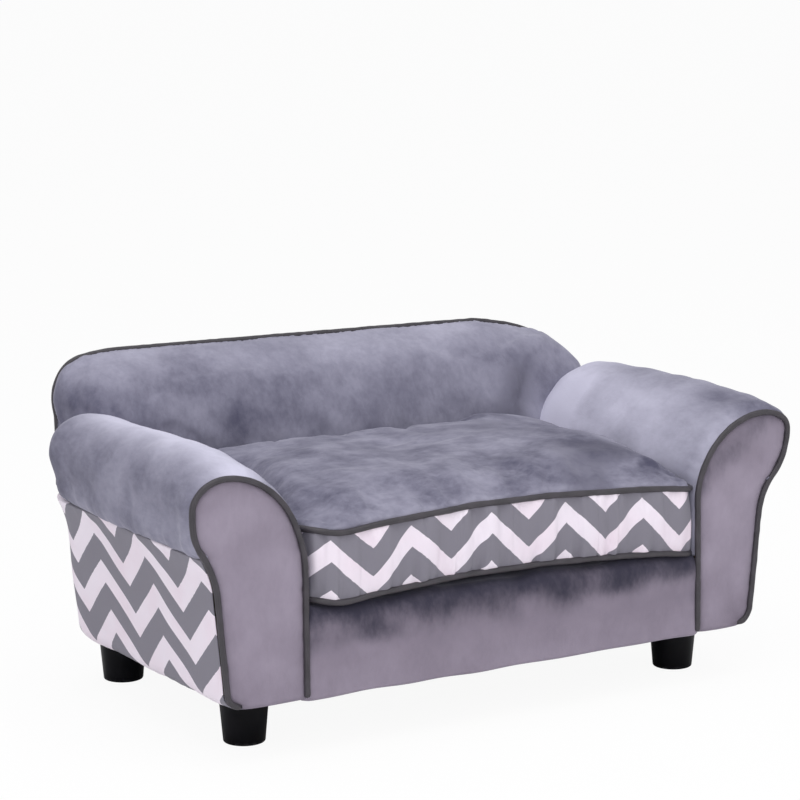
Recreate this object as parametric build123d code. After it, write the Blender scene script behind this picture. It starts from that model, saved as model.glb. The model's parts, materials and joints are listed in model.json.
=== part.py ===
from build123d import *
import os
from math import asin, cos, degrees, radians, sin, sqrt, tan

# Small-dog sofa: a boarded frame with two rolled arms and an arched back, foam
# and cloth over it, four tapered feet, and one loose box cushion whose cover
# opens with a zip at the back. Lengths are in millimetres. X runs across the
# sofa, -Y is its front, Z is up from the floor, and the origin is on the floor
# under the middle of the sofa.

# Overall sizes
overall_width = 680.0
overall_depth = 372.0
arm_height = 281.0
back_height = 334.0
arm_width = 119.0
deck_height = 136.0
foot_height = 52.0

# Cloth, cords and padding
cloth = 1.5
dust_cloth = 1.0
piping_radius = 3.0
facing_pad = 3.0
side_pad = 4.0
inner_pad = 8.0

# Boards
board = 9.0
thick_board = 12.0
bent_board = 5.0
cleat_width = 18.0
brace_depth = 60.0
rail_board_drop = 14.0
board_inset = 12.0

# Rolled arm, as its outline is seen from the front
arm_front_drop = 9.0
flare_drop = 103.0
roll_peak_reach = 37.0
roll_widest_drop = 40.0
shoulder_radius = 60.0
shoulder_turn = 40.0
hollow_radius = 70.0
side_slope = 5.5
base_corner_radius = 18.0
arm_seam_drop = 85.0
roll_end_setback = 44.0
roll_end_radius = 60.0
crease_relief = 1.0

# Rounded rear corners of the base, and where the side cloth meets the back cloth
rear_corner_radius = 70.0
rear_seam_reach = 130.0
rear_board_setback = 80.0

# Back pad
back_end_reach = 34.0
back_pad_depth = 90.0
back_pad_foot = 93.0
back_board_inset = 10.0
back_board_shoulder = 8.0
back_crest_radius = 200.0
back_crest_turn = 25.0
back_corner_radius = 45.0
back_piping_drop = 41.0
# Across the back: place as a share of the half width, and the pad's depth there as
# a share of its full depth
back_station_shares = (
    (0.00, 1.00),
    (0.40, 1.00),
    (0.59, 1.00),
    (0.70, 1.00),
    (0.80, 0.98),
    (0.90, 0.88),
    (0.96, 0.68),
    (0.99, 0.46),
    (1.00, 0.32),
)
# Over the top of the pad, from the rear edge to the foot of its front: shares of
# the pad's depth and of its height
back_roll_shares = ((0.20, 0.985), (0.47, 0.870), (0.76, 0.560), (0.97, 0.150))

# Front rail
rail_setback = 2.5
rail_top_radius = 14.0
rail_thickness = 23.5

# Feet
foot_bottom_radius = 20.1
foot_top_radius = 24.5
foot_edge_radius = 2.0
foot_side_setback = 90.0
front_foot_setback = 74.0
rear_foot_setback = 40.0
bolt_radius = 4.0
bolt_start = 20.0
bolt_collar_radius = 7.0
bolt_collar_height = 8.0
insert_radius = 6.0

# Screws that hold the seat deck down
screw_radius = 2.0
screw_head_radius = 4.0
screw_head_height = 3.0
screw_length = 24.0
brace_screw_share = 0.45
cleat_screw_share = 0.60
rail_screw_share = 0.50

# Loose cushion
cushion_side_gap = 1.5
cushion_front_setback = 1.0
cushion_back_setback = 109.0
cushion_lift_gap = 0.3
cushion_seam_rise = 8.0
cushion_band_height = 66.0
cushion_crown = 27.0
cushion_corner_radius = 26.0
cushion_draw_in = 4.0
cushion_foot_inset = 7.0
# Crown above the top seam: shares of the crown's height and of the half depth
crown_shares = ((0.0, 0.0), (0.40, 0.07), (0.72, 0.22), (0.93, 0.48), (1.0, 0.82))
crown_corner_share = 0.6

# Zip at the back of the cushion
zip_end_margin = 37.5
zip_tape_width = 24.0
zip_coil_width = 4.6
zip_coil_height = 1.2
zip_stop_length = 3.0
zip_margin = 8.0
slider_length = 11.0
slider_width = 8.0
slider_plate = 1.6
slider_clearance = 0.3
ear_gap = 5.2
ear_thickness = 1.2
ear_width = 3.0
pin_radius = 0.6
pin_rise = 2.0
pull_eye_radius = 1.7
pull_length = 16.0
pull_width = 4.6
pull_thickness = 1.2
pull_hole_radius = 1.3

# Overrun of every cutting tool past what it cuts
over = 20.0

# Places worked out from the sizes above
half_width = overall_width / 2
seat_half = half_width - arm_width
arm_front_height = arm_height - arm_front_drop
flare_start = arm_height - flare_drop
roll_widest_height = arm_height - roll_widest_drop
arm_seam_height = arm_height - arm_seam_drop
rear_seam_half_width = half_width - rear_seam_reach
back_half_width = half_width - back_end_reach
back_piping_foot = arm_height - back_piping_drop
cushion_seam_low = deck_height + cushion_seam_rise
cushion_seam_high = cushion_seam_low + cushion_band_height
front = -overall_depth / 2
rear = overall_depth / 2
base_height = foot_height + dust_cloth
piping_depth = 2 * piping_radius
arm_start = front + piping_depth
frame_start = arm_start + board
roll_end = rear - roll_end_setback
roll_peak_x = half_width - roll_peak_reach
inner_board_x = seat_half + cloth + inner_pad
board_seat = cloth + side_pad
frame_seat = board_seat + bent_board
arm_cap_low = arm_seam_height - bent_board
rail_front = front + rail_setback
rail_rear = rail_front + rail_thickness
back_board_front = rear - cloth - board
back_edge_height = back_height - piping_radius
deck_board_top = deck_height - cloth
deck_board_low = deck_board_top - board
tall = back_height + over
foot_x = half_width - foot_side_setback
foot_places = {
    "front_left_foot": (-foot_x, front + front_foot_setback),
    "front_right_foot": (foot_x, front + front_foot_setback),
    "rear_left_foot": (-foot_x, rear - rear_foot_setback),
    "rear_right_foot": (foot_x, rear - rear_foot_setback),
}

FRONT_VIEW = Plane(origin=(0, 0, 0), x_dir=(1, 0, 0), z_dir=(0, -1, 0))


def block(x0, x1, y0, y1, z0, z1):
    """Box between two corners."""
    low = (min(x0, x1), y0, z0)
    size = (abs(x1 - x0), y1 - y0, z1 - z0)
    return Pos(*low) * Box(*size, align=(Align.MIN, Align.MIN, Align.MIN))


def along_y(face, y0, y1):
    """Solid of a face drawn in the front view, from one depth to another."""
    placed = Pos(0, y0, 0) * (FRONT_VIEW * face)
    return extrude(placed, amount=y1 - y0, dir=(0, 1, 0))


def along_x(face, x0, x1):
    """Solid of a face drawn in the side view, from one side to the other."""
    return extrude(Pos(x0, 0, 0) * (Plane.YZ * face), amount=x1 - x0, dir=(1, 0, 0))


def along_z(face, z0, z1):
    """Solid of a face drawn in plan, from one height to another."""
    return extrude(Pos(0, 0, z0) * face, amount=z1 - z0, dir=(0, 0, 1))


def mirrored(shape):
    """The same piece on the other side of the sofa."""
    return mirror(shape, about=Plane.YZ)


# The arm's outline. Its inner wall rises straight and flares out in a quarter of
# an ellipse, a second quarter turns over the roll, and below the roll a shoulder
# arc and a hollow arc lead into the side, which leans in towards the floor.
shoulder_x = half_width - shoulder_radius
turn = radians(shoulder_turn)
slope = radians(side_slope)
hollow_x = shoulder_x + (shoulder_radius + hollow_radius) * cos(turn)
hollow_z = roll_widest_height - (shoulder_radius + hollow_radius) * sin(turn)
shoulder_low_z = roll_widest_height - shoulder_radius * sin(turn)
side_top_x = hollow_x - hollow_radius * cos(slope)
side_top_z = hollow_z + hollow_radius * sin(slope)


def side_x(z):
    """Half width of the arm's outer side at a height below the roll's widest line."""
    if z >= shoulder_low_z:
        return shoulder_x + sqrt(shoulder_radius**2 - (z - roll_widest_height) ** 2)
    if z >= side_top_z:
        return hollow_x - sqrt(hollow_radius**2 - (z - hollow_z) ** 2)
    straight = side_top_x - (side_top_z - z) * tan(slope)
    into_corner = max(base_height + base_corner_radius - z, 0)
    return straight - base_corner_radius + sqrt(base_corner_radius**2 - into_corner**2)


def arm_edges(inset, height):
    """Edges of the right arm's outline from its inner foot over the roll and down
    the side, each moved inwards by inset. The padded roll is higher than the front."""
    inner_x = seat_half + inset
    top = height - inset
    foot = base_height + inset
    side_start_x = hollow_x - (hollow_radius + inset) * cos(slope)
    side_start_z = hollow_z + (hollow_radius + inset) * sin(slope)
    side_end_x = side_start_x - (side_start_z - foot) * tan(slope)
    flare_width = roll_peak_x - inner_x
    over_width = half_width - inset - roll_peak_x
    return [
        Line((inner_x, foot), (inner_x, flare_start)),
        EllipticalCenterArc(
            (roll_peak_x, flare_start), flare_width, top - flare_start, 180, arc_size=-90
        ),
        EllipticalCenterArc(
            (roll_peak_x, roll_widest_height),
            over_width,
            top - roll_widest_height,
            90,
            arc_size=-90,
        ),
        CenterArc((shoulder_x, roll_widest_height), shoulder_radius - inset, 0, -shoulder_turn),
        CenterArc(
            (hollow_x, hollow_z),
            hollow_radius + inset,
            180 - shoulder_turn,
            shoulder_turn - side_slope,
        ),
        Line((side_start_x, side_start_z), (side_end_x, foot)),
    ]


def arm_face(inset, height=arm_front_height):
    """The arm's outline as a face, with its lower outer corner rounded."""
    edges = arm_edges(inset, height)
    inner_foot = edges[0] @ 0
    outer_foot = edges[-1] @ 1
    face = make_face(edges + [Line(outer_foot, inner_foot)])
    corner = face.vertices().sort_by_distance(outer_foot)[0]
    return fillet(corner, base_corner_radius - inset)


def roll_end_cut(inset):
    """Tool that rounds the outer rear corner of the arm's roll in plan."""
    radius = roll_end_radius - inset
    side = half_width - inset
    end = roll_end - inset
    centre = (side - radius + crease_relief, end - radius + crease_relief)
    square = Pos(side - radius, end - radius) * Rectangle(
        radius + over, radius + over, align=(Align.MIN, Align.MIN)
    )
    corner = square - Pos(*centre) * Circle(radius)
    return along_z(corner, arm_seam_height - over, tall)


def arm_body(inset):
    """Right arm behind its front piping, whole, moved inwards by inset."""
    body = along_y(arm_face(inset, arm_height), arm_start, roll_end - inset)
    return body - roll_end_cut(inset)


# The base: sides and rear as one skin, from horizontal outlines at several heights.
def plan_outline(z, inset):
    """Outline of the base at a height, with its two rear corners rounded."""
    side = side_x(z) - inset
    end = rear - inset
    radius = rear_corner_radius - inset
    arc_y = end - radius
    arc_x = side - radius
    return make_face(
        [
            Line((-side, arm_start), (side, arm_start)),
            Line((side, arm_start), (side, arc_y)),
            CenterArc((arc_x, arc_y), radius, 0, 90),
            Line((arc_x, end), (-arc_x, end)),
            CenterArc((-arc_x, arc_y), radius, 90, 90),
            Line((-side, arc_y), (-side, arm_start)),
        ]
    )


corner_rise_shares = (0.0, 0.12, 0.4, 1.0)
hollow_rise_shares = (0.0, 0.25, 0.5, 0.75, 1.0)


def base_levels():
    """Heights of the outlines: close together round the lower edge and the hollow."""
    low = [base_height + base_corner_radius * share for share in corner_rise_shares]
    rise = arm_seam_height - side_top_z
    return low + [side_top_z + rise * share for share in hollow_rise_shares]


def base_body(inset):
    """Everything inside the base's skin from its lower edge to the arm seam."""
    return loft([Pos(0, 0, z) * plan_outline(z, inset) for z in base_levels()], ruled=True)


def right_part(shape, x0, z0=base_height, z1=arm_seam_height):
    """What a shape has beyond a place across the sofa, between two heights."""
    return shape & block(x0, half_width + over, front - over, rear + over, z0, z1)


# The back's edge, seen from the front: level in the middle, a wide crest arc and a
# tighter corner arc at each end, then straight down behind the arm's roll.
crest_turn = radians(back_crest_turn)
arc_step = back_crest_radius - back_corner_radius
corner_x = back_half_width - back_corner_radius
crest_x = corner_x - arc_step * sin(crest_turn)
crest_z = back_edge_height - back_crest_radius
corner_z = crest_z + arc_step * cos(crest_turn)


def back_edges(inset, foot):
    """Edges of the back's outline from the foot of its left end to that of its right."""
    width = back_half_width - inset
    top = back_edge_height - inset
    crest, corner = back_crest_radius - inset, back_corner_radius - inset
    steep = 90 - back_crest_turn
    return [
        Line((-width, foot), (-width, corner_z)),
        CenterArc((-corner_x, corner_z), corner, 180, -steep),
        CenterArc((-crest_x, crest_z), crest, 90 + back_crest_turn, -back_crest_turn),
        Line((-crest_x, top), (crest_x, top)),
        CenterArc((crest_x, crest_z), crest, 90, -back_crest_turn),
        CenterArc((corner_x, corner_z), corner, steep, -steep),
        Line((width, corner_z), (width, foot)),
    ]


def back_top(x, inset):
    """Height of the back's outline at a place across it."""
    out = abs(x)
    crest, corner = back_crest_radius - inset, back_corner_radius - inset
    if out <= crest_x:
        return back_edge_height - inset
    if out <= crest_x + crest * sin(crest_turn):
        return crest_z + sqrt(crest**2 - (out - crest_x) ** 2)
    return corner_z + sqrt(max(corner**2 - (out - corner_x) ** 2, 0))


# The back pad, lofted through side-view sections from one end to the other.
def back_section(share, depth_share, inset):
    """Section of the upper pad at a share of the way from the middle to an end."""
    x = share * (back_half_width - inset)
    foot = arm_seam_height
    top = back_top(x, inset)
    back = rear - inset
    front_y = rear - back_pad_depth * depth_share + inset
    height = top - foot
    run = back - front_y
    over_points = [(back - run * d, foot + height * h) for d, h in back_roll_shares]
    face = make_face(
        [
            Line((back, foot), (back, top)),
            Spline([(back, top)] + over_points + [(front_y, foot)]),
            Line((front_y, foot), (back, foot)),
        ]
    )
    return Pos(x, 0, 0) * (Plane.YZ * face)


def back_stations():
    """Sections' places and depths from the left end to the right end."""
    right = list(back_station_shares)
    left = [(-share, depth) for share, depth in reversed(right[1:])]
    return left + right


def back_body(inset):
    """Upper pad over the whole width and lower pad between the arms."""
    upper = loft([back_section(share, depth, inset) for share, depth in back_stations()])
    lower_face = make_face(
        Polyline(
            (back_board_front, deck_height),
            (back_board_front, arm_seam_height),
            (rear - back_pad_depth + inset, arm_seam_height),
            (rear - back_pad_foot + inset, deck_height),
            close=True,
        )
    )
    reach = seat_half - inset
    return upper + along_x(lower_face, -reach, reach)


def back_board_face():
    """Back board: narrow between the base's corners, arched and wide above them."""
    shoulder_z = arm_seam_height + back_board_shoulder
    edges = back_edges(back_board_inset, shoulder_z)
    left_end, right_end = edges[0] @ 0, edges[-1] @ 1
    half = rear_seam_half_width
    return make_face(
        edges
        + [
            Line(right_end, (half, shoulder_z)),
            Line((half, shoulder_z), (half, base_height)),
            Line((half, base_height), (-half, base_height)),
            Line((-half, base_height), (-half, shoulder_z)),
            Line((-half, shoulder_z), left_end),
        ]
    )


def piping(path, radius):
    """Round cord along a path."""
    start = path @ 0
    heading = path % 0
    return sweep(Plane(origin=start, z_dir=heading) * Circle(radius), path=path)


# The front rail, in side view.
def rail_face(inset):
    """Rail with its padded upper front edge rounded."""
    face = make_face(
        Polyline(
            (rail_front + inset, base_height + inset),
            (rail_front + inset, deck_height - inset),
            (rail_rear, deck_height - inset),
            (rail_rear, base_height + inset),
            close=True,
        )
    )
    edge = (rail_front + inset, deck_height - inset)
    corner = face.vertices().sort_by_distance(edge)[0]
    return fillet(corner, rail_top_radius - inset)


# The cushion, in plan.
cushion_half_width = seat_half - cushion_side_gap - piping_radius
cushion_front = front + cushion_front_setback + piping_radius
cushion_rear = rear - cushion_back_setback
cushion_half_depth = (cushion_rear - cushion_front) / 2
zip_half_length = cushion_half_width - zip_end_margin


def bow_arc(half_span, radius, bow):
    """Radius of a side drawn in by bow between two corner arcs, and the angle at
    which it meets them, so that side and corner share a tangent."""
    reach = (half_span**2 + bow**2) / (2 * bow)
    return reach - radius, degrees(asin(half_span / reach))


def cushion_edges(inset, radius, bow):
    """Outline of the cushion: front and sides drawn in by bow between the corners,
    and the rear straight where the zip lies."""
    x = cushion_half_width - inset
    low = cushion_front + inset
    high = cushion_rear - inset
    middle = (low + high) / 2
    cx, low_y, high_y = x - radius, low + radius, high - radius
    front_radius, front_angle = bow_arc(cx, radius, bow)
    side_radius, side_angle = bow_arc((high_y - low_y) / 2, radius, bow)
    front_y = low + bow - front_radius
    side_centre = x - bow + side_radius
    corner = 90 + front_angle + side_angle
    rear_corner = 90 + side_angle
    return [
        CenterArc((0, front_y), front_radius, 90 + front_angle, -2 * front_angle),
        CenterArc((cx, low_y), radius, -90 - front_angle, corner),
        CenterArc((side_centre, middle), side_radius, 180 + side_angle, -2 * side_angle),
        CenterArc((cx, high_y), radius, -side_angle, rear_corner),
        Line((cx, high), (-cx, high)),
        CenterArc((-cx, high_y), radius, 90, rear_corner),
        CenterArc((-side_centre, middle), side_radius, side_angle, -2 * side_angle),
        CenterArc((-cx, low_y), radius, 180 - side_angle, corner),
    ]


def cushion_face(inset):
    """Outline of the cushion as a face, parallel to its seams at a distance."""
    return make_face(cushion_edges(inset, cushion_corner_radius - inset, cushion_draw_in))


def seam_groove(z):
    """Square groove that the cord lies in, all round the cushion at a seam."""
    ring = cushion_face(-piping_radius) - cushion_face(piping_radius)
    return along_z(ring, z - piping_radius, z + piping_radius)


def cushion_box(inset):
    """Part of the cushion between its two seams."""
    return along_z(cushion_face(inset), cushion_seam_low, cushion_seam_high)


def cushion_crown_body(inset):
    """Crowned part above the top seam."""
    sections = []
    for rise_share, inset_share in crown_shares:
        z = cushion_seam_high + (cushion_crown - inset) * rise_share
        drawn = inset + inset_share * (cushion_half_depth - inset)
        room = (cushion_half_depth - drawn) * crown_corner_share
        radius = min(cushion_corner_radius - inset, room)
        bow = cushion_draw_in * (1 - inset_share)
        sections.append(Pos(0, 0, z) * make_face(cushion_edges(drawn, radius, bow)))
    return loft(sections)


def cushion_foot_body(inset):
    """Shallow part below the bottom seam, flat where it rests."""
    low = deck_height + cushion_lift_gap + inset
    drawn = cushion_foot_inset + inset
    sections = [
        Pos(0, 0, low) * cushion_face(drawn),
        Pos(0, 0, cushion_seam_low) * cushion_face(inset),
    ]
    return loft(sections, ruled=True)


nodes = {}


def put(name, shape):
    """Keep a shape as a node: one solid, or a group of separate solids."""
    solids = shape.solids() if hasattr(shape, "solids") else shape
    nodes[name] = solids[0] if len(solids) == 1 else Compound(children=list(solids))


def put_pair(name, shape):
    """Keep the right-hand piece and its mirror image."""
    put("right_" + name, shape)
    put("left_" + name, mirrored(shape))


# Feet with their moulded-in bolts, and the inserts that take the bolts
def foot():
    """Tapered round foot with a rounded lower edge, standing at the origin."""
    r = foot_bottom_radius
    e = foot_edge_radius
    flank = Line((r, e), (foot_top_radius, foot_height))
    profile = make_face(
        [
            Line((0, 0), (r - e, 0)),
            CenterArc((r - e, e), e, -90, 90),
            flank,
            Line(flank @ 1, (0, foot_height)),
            Line((0, foot_height), (0, 0)),
        ]
    )
    return revolve(Plane.XZ * profile, axis=Axis.Z)


def upright(radius, z0, z1):
    """Upright cylinder between two heights."""
    return Pos(0, 0, z0) * Cylinder(
        radius, z1 - z0, align=(Align.CENTER, Align.CENTER, Align.MIN)
    )


base_board_top = base_height + thick_board
bolt = upright(bolt_radius, bolt_start, base_board_top)
bolt += upright(bolt_collar_radius, bolt_start, bolt_start + bolt_collar_height)
sleeve = upright(insert_radius, base_height, base_board_top)
insert = sleeve - upright(bolt_radius, base_height - over, base_board_top + over)
bare_foot = foot() - bolt
bolts = []
inserts = []
sleeves = []
for name, (x, y) in foot_places.items():
    put(name, Pos(x, y, 0) * bare_foot)
    bolts.append((Pos(x, y, 0) * bolt).solids()[0])
    inserts.append((Pos(x, y, 0) * insert).solids()[0])
    sleeves.append(Pos(x, y, 0) * sleeve)
put("foot_bolts", bolts)
put("foot_inserts", inserts)

# Base: boards, deck and the cloths on and under them
base_skin = base_body(0)
under_cloth = base_body(cloth)
under_pad = base_body(board_seat)
under_board = base_body(frame_seat)

base_board = right_part(under_board, inner_board_x, base_height, base_board_top)
base_board &= block(inner_board_x, half_width, frame_start, rear, 0, tall)
for peg in sleeves:
    base_board -= peg
put_pair("arm_base_board", base_board)

rail_board = block(
    -inner_board_x,
    inner_board_x,
    rail_rear - thick_board,
    rail_rear,
    base_height + cloth,
    deck_height - rail_board_drop,
)
rail_solid = along_x(rail_face(cloth), -seat_half, seat_half)
rail_skin = along_x(rail_face(0), -seat_half, seat_half) - rail_solid
put("front_rail_board", rail_board)
put("front_rail_foam", rail_solid - rail_board)
put("front_rail_cover", rail_skin)

rear_rail_front = back_board_front - thick_board
rear_rail = block(
    -rear_seam_half_width,
    rear_seam_half_width,
    rear_rail_front,
    back_board_front,
    base_height,
    deck_board_low,
)
brace = block(
    -cleat_width / 2,
    cleat_width / 2,
    rail_rear,
    rear_rail_front,
    deck_board_low - brace_depth,
    deck_board_low,
)
cleat = block(
    inner_board_x - cleat_width,
    inner_board_x,
    rail_rear,
    rear - rear_board_setback,
    deck_board_low - cleat_width,
    deck_board_low,
)
cleats = [cleat, mirrored(cleat)]
deck = block(
    -inner_board_x, inner_board_x, rail_rear, back_board_front, deck_board_low, deck_board_top
)

# Countersunk screws through the deck into the brace, the cleats and the rear rail
cleat_x = inner_board_x - cleat_width / 2
brace_y = rear * brace_screw_share
cleat_y = rear * cleat_screw_share
rail_x = rear_seam_half_width * rail_screw_share
rail_y = back_board_front - thick_board / 2
screw_places = [(0, -brace_y), (0, brace_y), (-rail_x, rail_y), (rail_x, rail_y)]
screw_places += [(x, y) for x in (-cleat_x, cleat_x) for y in (-cleat_y, 0, cleat_y / 2)]
shank_low = deck_board_top - screw_length
head_low = deck_board_top - screw_head_height
head_profile = make_face(
    Polyline(
        (0, head_low),
        (screw_radius, head_low),
        (screw_head_radius, deck_board_top),
        (0, deck_board_top),
        close=True,
    )
)
screw = upright(screw_radius, shank_low, head_low)
screw += revolve(Plane.XZ * head_profile, axis=Axis.Z)
screws = [(Pos(x, y, 0) * screw).solids()[0] for x, y in screw_places]
for one in screws:
    rear_rail -= one
    brace -= one
    deck -= one
    cleats = [piece - one for piece in cleats]
put("rear_rail_board", rear_rail)
put("seat_brace", brace)
put("deck_cleats", [piece.solids()[0] for piece in cleats])
put("seat_deck_board", deck)
put("deck_screws", screws)
deck_cloth = block(
    -seat_half, seat_half, rail_rear, back_board_front, deck_board_top, deck_height
)
put("deck_cloth", deck_cloth)

dust_half = foot_x + foot_top_radius
dust = block(-dust_half, dust_half, rail_rear, rear_rail_front, foot_height, base_height)
for one in bolts:
    dust -= one
put("dust_cover", dust)

# Back: board, pad, velvet over the pad, cloth behind, and the cord along the edge
back_skin = back_body(0)
back_core = back_body(cloth)
back_board = along_y(back_board_face(), back_board_front, back_board_front + board)
behind = block(-half_width, half_width, rear - cloth, rear + over, 0, tall)
lower_back_cloth = block(
    -rear_seam_half_width, rear_seam_half_width, rear - cloth, rear, base_height, arm_seam_height
)
edge_y = rear - piping_radius
edge_wire = Pos(0, edge_y, 0) * (FRONT_VIEW * Wire(back_edges(0, back_piping_foot)))
back_cord = piping(edge_wire, piping_radius)
put("back_board", back_board)
put("back_foam", back_core - back_board - back_cord)
put("back_inner_cover", back_skin - back_core - behind - back_cord)
upper_edges = back_edges(cloth, arm_seam_height)
upper_face = make_face(upper_edges + [Line(upper_edges[-1] @ 1, upper_edges[0] @ 0)])
upper_back_cloth = along_y(upper_face, rear - cloth, rear)
put("back_outer_cover", upper_back_cloth + lower_back_cloth - back_cord)
put("back_piping", back_cord)

# Arms
arm_skin = arm_body(0)
arm_core = arm_body(cloth)
above_seam = block(0, half_width + over, front - over, rear + over, arm_seam_height, tall)
inner_part = block(
    seat_half - over, inner_board_x, front - over, rear + over, deck_height, arm_seam_height
)
front_board = along_y(arm_face(board_inset), arm_start, frame_start)
arm_cover = (arm_skin - arm_core) & (above_seam + inner_part)
roll_foam = (arm_core & above_seam) - front_board
put_pair("arm_roll_cover", arm_cover - back_skin)
put_pair("arm_roll_foam", roll_foam - back_skin)
put_pair("arm_inner_foam", arm_core & inner_part)
put_pair("arm_front_board", front_board)

ledge = base_skin & block(
    seat_half, half_width, roll_end, rear, arm_seam_height - cloth, arm_seam_height
)
cap = block(inner_board_x, half_width, frame_start, rear, arm_cap_low, arm_seam_height)
put_pair("arm_cap_board", (cap & under_board) - ledge)
rear_board_y = rear - rear_board_setback
rear_board = along_y(arm_face(board_inset), rear_board_y, rear_board_y + board)
rear_board &= block(inner_board_x, half_width, front, rear, 0, arm_cap_low)
put_pair("arm_rear_board", rear_board)
put_pair(
    "arm_inner_board",
    block(
        inner_board_x,
        inner_board_x + board,
        frame_start,
        rear_board_y,
        base_board_top,
        arm_cap_low,
    ),
)
side_board = right_part(under_pad - under_board, rear_seam_half_width)
side_wadding = right_part(under_cloth - under_pad, rear_seam_half_width)
side_panel = right_part(base_skin - under_cloth, rear_seam_half_width)
put_pair("arm_side_board", side_board - ledge)
put_pair("arm_side_wadding", side_wadding - ledge)
put_pair("side_panel", side_panel + ledge)

# Padded facing on the front of each arm, with its cord
facing_outline = arm_face(piping_depth)
facing_rear = arm_start
facing_front = facing_rear - facing_pad - cloth
put_pair("facing_foam", along_y(facing_outline, facing_front + cloth, facing_rear))
put_pair("facing_cover", along_y(facing_outline, facing_front, facing_front + cloth))
cord_edges = arm_face(piping_radius).edges().sort_by(Axis.Y)[1:]
cord_wire = Pos(0, front + piping_radius, 0) * (FRONT_VIEW * Wire(cord_edges))
put_pair("facing_piping", piping(cord_wire, piping_radius))

# Loose cushion: foam inside a cover of top panel, boxing and bottom panel
box_skin, box_core = cushion_box(0), cushion_box(cloth)
crown_skin, crown_core = cushion_crown_body(0), cushion_crown_body(cloth)
foot_skin, foot_core = cushion_foot_body(0), cushion_foot_body(cloth)
seam_wire = Wire(cushion_edges(0, cushion_corner_radius, cushion_draw_in))
top_cord = piping(Pos(0, 0, cushion_seam_high) * seam_wire, piping_radius)
bottom_cord = piping(Pos(0, 0, cushion_seam_low) * seam_wire, piping_radius)
zip_z = (cushion_seam_low + cushion_seam_high) / 2
tape = block(
    -zip_half_length,
    zip_half_length,
    cushion_rear - cloth,
    cushion_rear,
    zip_z - zip_tape_width / 2,
    zip_z + zip_tape_width / 2,
)
top_groove, bottom_groove = seam_groove(cushion_seam_high), seam_groove(cushion_seam_low)
put("cushion_foam", box_core + crown_core + foot_core - top_groove - bottom_groove)
put("cushion_top_panel", crown_skin - crown_core - top_groove)
put("cushion_boxing", box_skin - box_core - top_groove - bottom_groove - tape)
put("cushion_bottom_panel", foot_skin - foot_core - bottom_groove)
put("cushion_top_piping", top_cord)
put("cushion_bottom_piping", bottom_cord)
put("zip_tape", tape)

# Zip: coil with a stop at each end, slider with two ears and a pin, and its pull
coil_front = cushion_rear
coil_rear = cushion_rear + zip_coil_height
coil_half = zip_half_length - zip_margin
coil = block(
    -coil_half,
    coil_half,
    coil_front,
    coil_rear,
    zip_z - zip_coil_width / 2,
    zip_z + zip_coil_width / 2,
)
stop_rear = coil_rear + slider_plate
stop = block(
    coil_half,
    coil_half + zip_stop_length,
    coil_front,
    stop_rear,
    zip_z - zip_coil_width / 2,
    zip_z + zip_coil_width / 2,
)
put("zip_coil", coil + stop + mirrored(stop))

slider_x = -coil_half + slider_length / 2 + slider_clearance
slider_front = coil_rear + slider_clearance
slider_rear = slider_front + slider_plate
pin_y = slider_rear + pin_rise
plate_face = RectangleRounded(slider_length, slider_width, slider_width / 3)
plate = Pos(slider_x, slider_rear, zip_z) * (
    Rot(90, 0, 0) * extrude(plate_face, amount=slider_plate)
)
ear = block(
    slider_x + ear_gap / 2,
    slider_x + ear_gap / 2 + ear_thickness,
    slider_rear,
    pin_y,
    zip_z - ear_width / 2,
    zip_z + ear_width / 2,
)
ear_round = Pos(slider_x + ear_gap / 2 + ear_thickness / 2, pin_y, zip_z) * (
    Rot(0, 90, 0) * Cylinder(ear_width / 2, ear_thickness)
)
ear += ear_round
slider_plane = Plane(origin=(slider_x, 0, 0), z_dir=(1, 0, 0))
pin = Pos(slider_x, pin_y, zip_z) * (Rot(0, 90, 0) * Cylinder(pin_radius, ear_gap + ear_thickness))
put("zip_slider", plate + ear + mirror(ear, about=slider_plane) + pin)

eye = Pos(slider_x, pin_y, zip_z) * (Rot(0, 90, 0) * Cylinder(pull_eye_radius, pull_width))
tab = block(
    slider_x - pull_width / 2,
    slider_x + pull_width / 2,
    pin_y - pull_thickness / 2,
    pin_y + pull_thickness / 2,
    zip_z - pull_length,
    zip_z,
)
tab_end = tab.edges().filter_by(Axis.Y).sort_by(Axis.Z)[:2]
tab = fillet(tab_end, pull_width / 3)
hole = Pos(slider_x, pin_y, zip_z - pull_length + pull_width / 2) * (
    Rot(90, 0, 0) * Cylinder(pull_hole_radius, over)
)
bore = Pos(slider_x, pin_y, zip_z) * (
    Rot(0, 90, 0) * Cylinder(pin_radius + slider_clearance, over)
)
put("zip_pull", eye + tab - hole - bore)

os.makedirs("parts", exist_ok=True)
for name, shape in nodes.items():
    export_step(shape, "parts/" + name + ".step")
print(len(nodes), "pieces written")
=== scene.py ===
# %% [markdown]
# # A small-dog sofa, from its frame to its cloth
# The frame comes in as fixed solids: boards, feet, screws and plain bodies for the foam.
# This script sews the covers over them. Each cover is a surface that numpy works out on
# a grid, so the notes say what each formula means before the code uses it.

# %% Load the frame
import json
from math import cos, pi, radians, sin, tan

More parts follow.
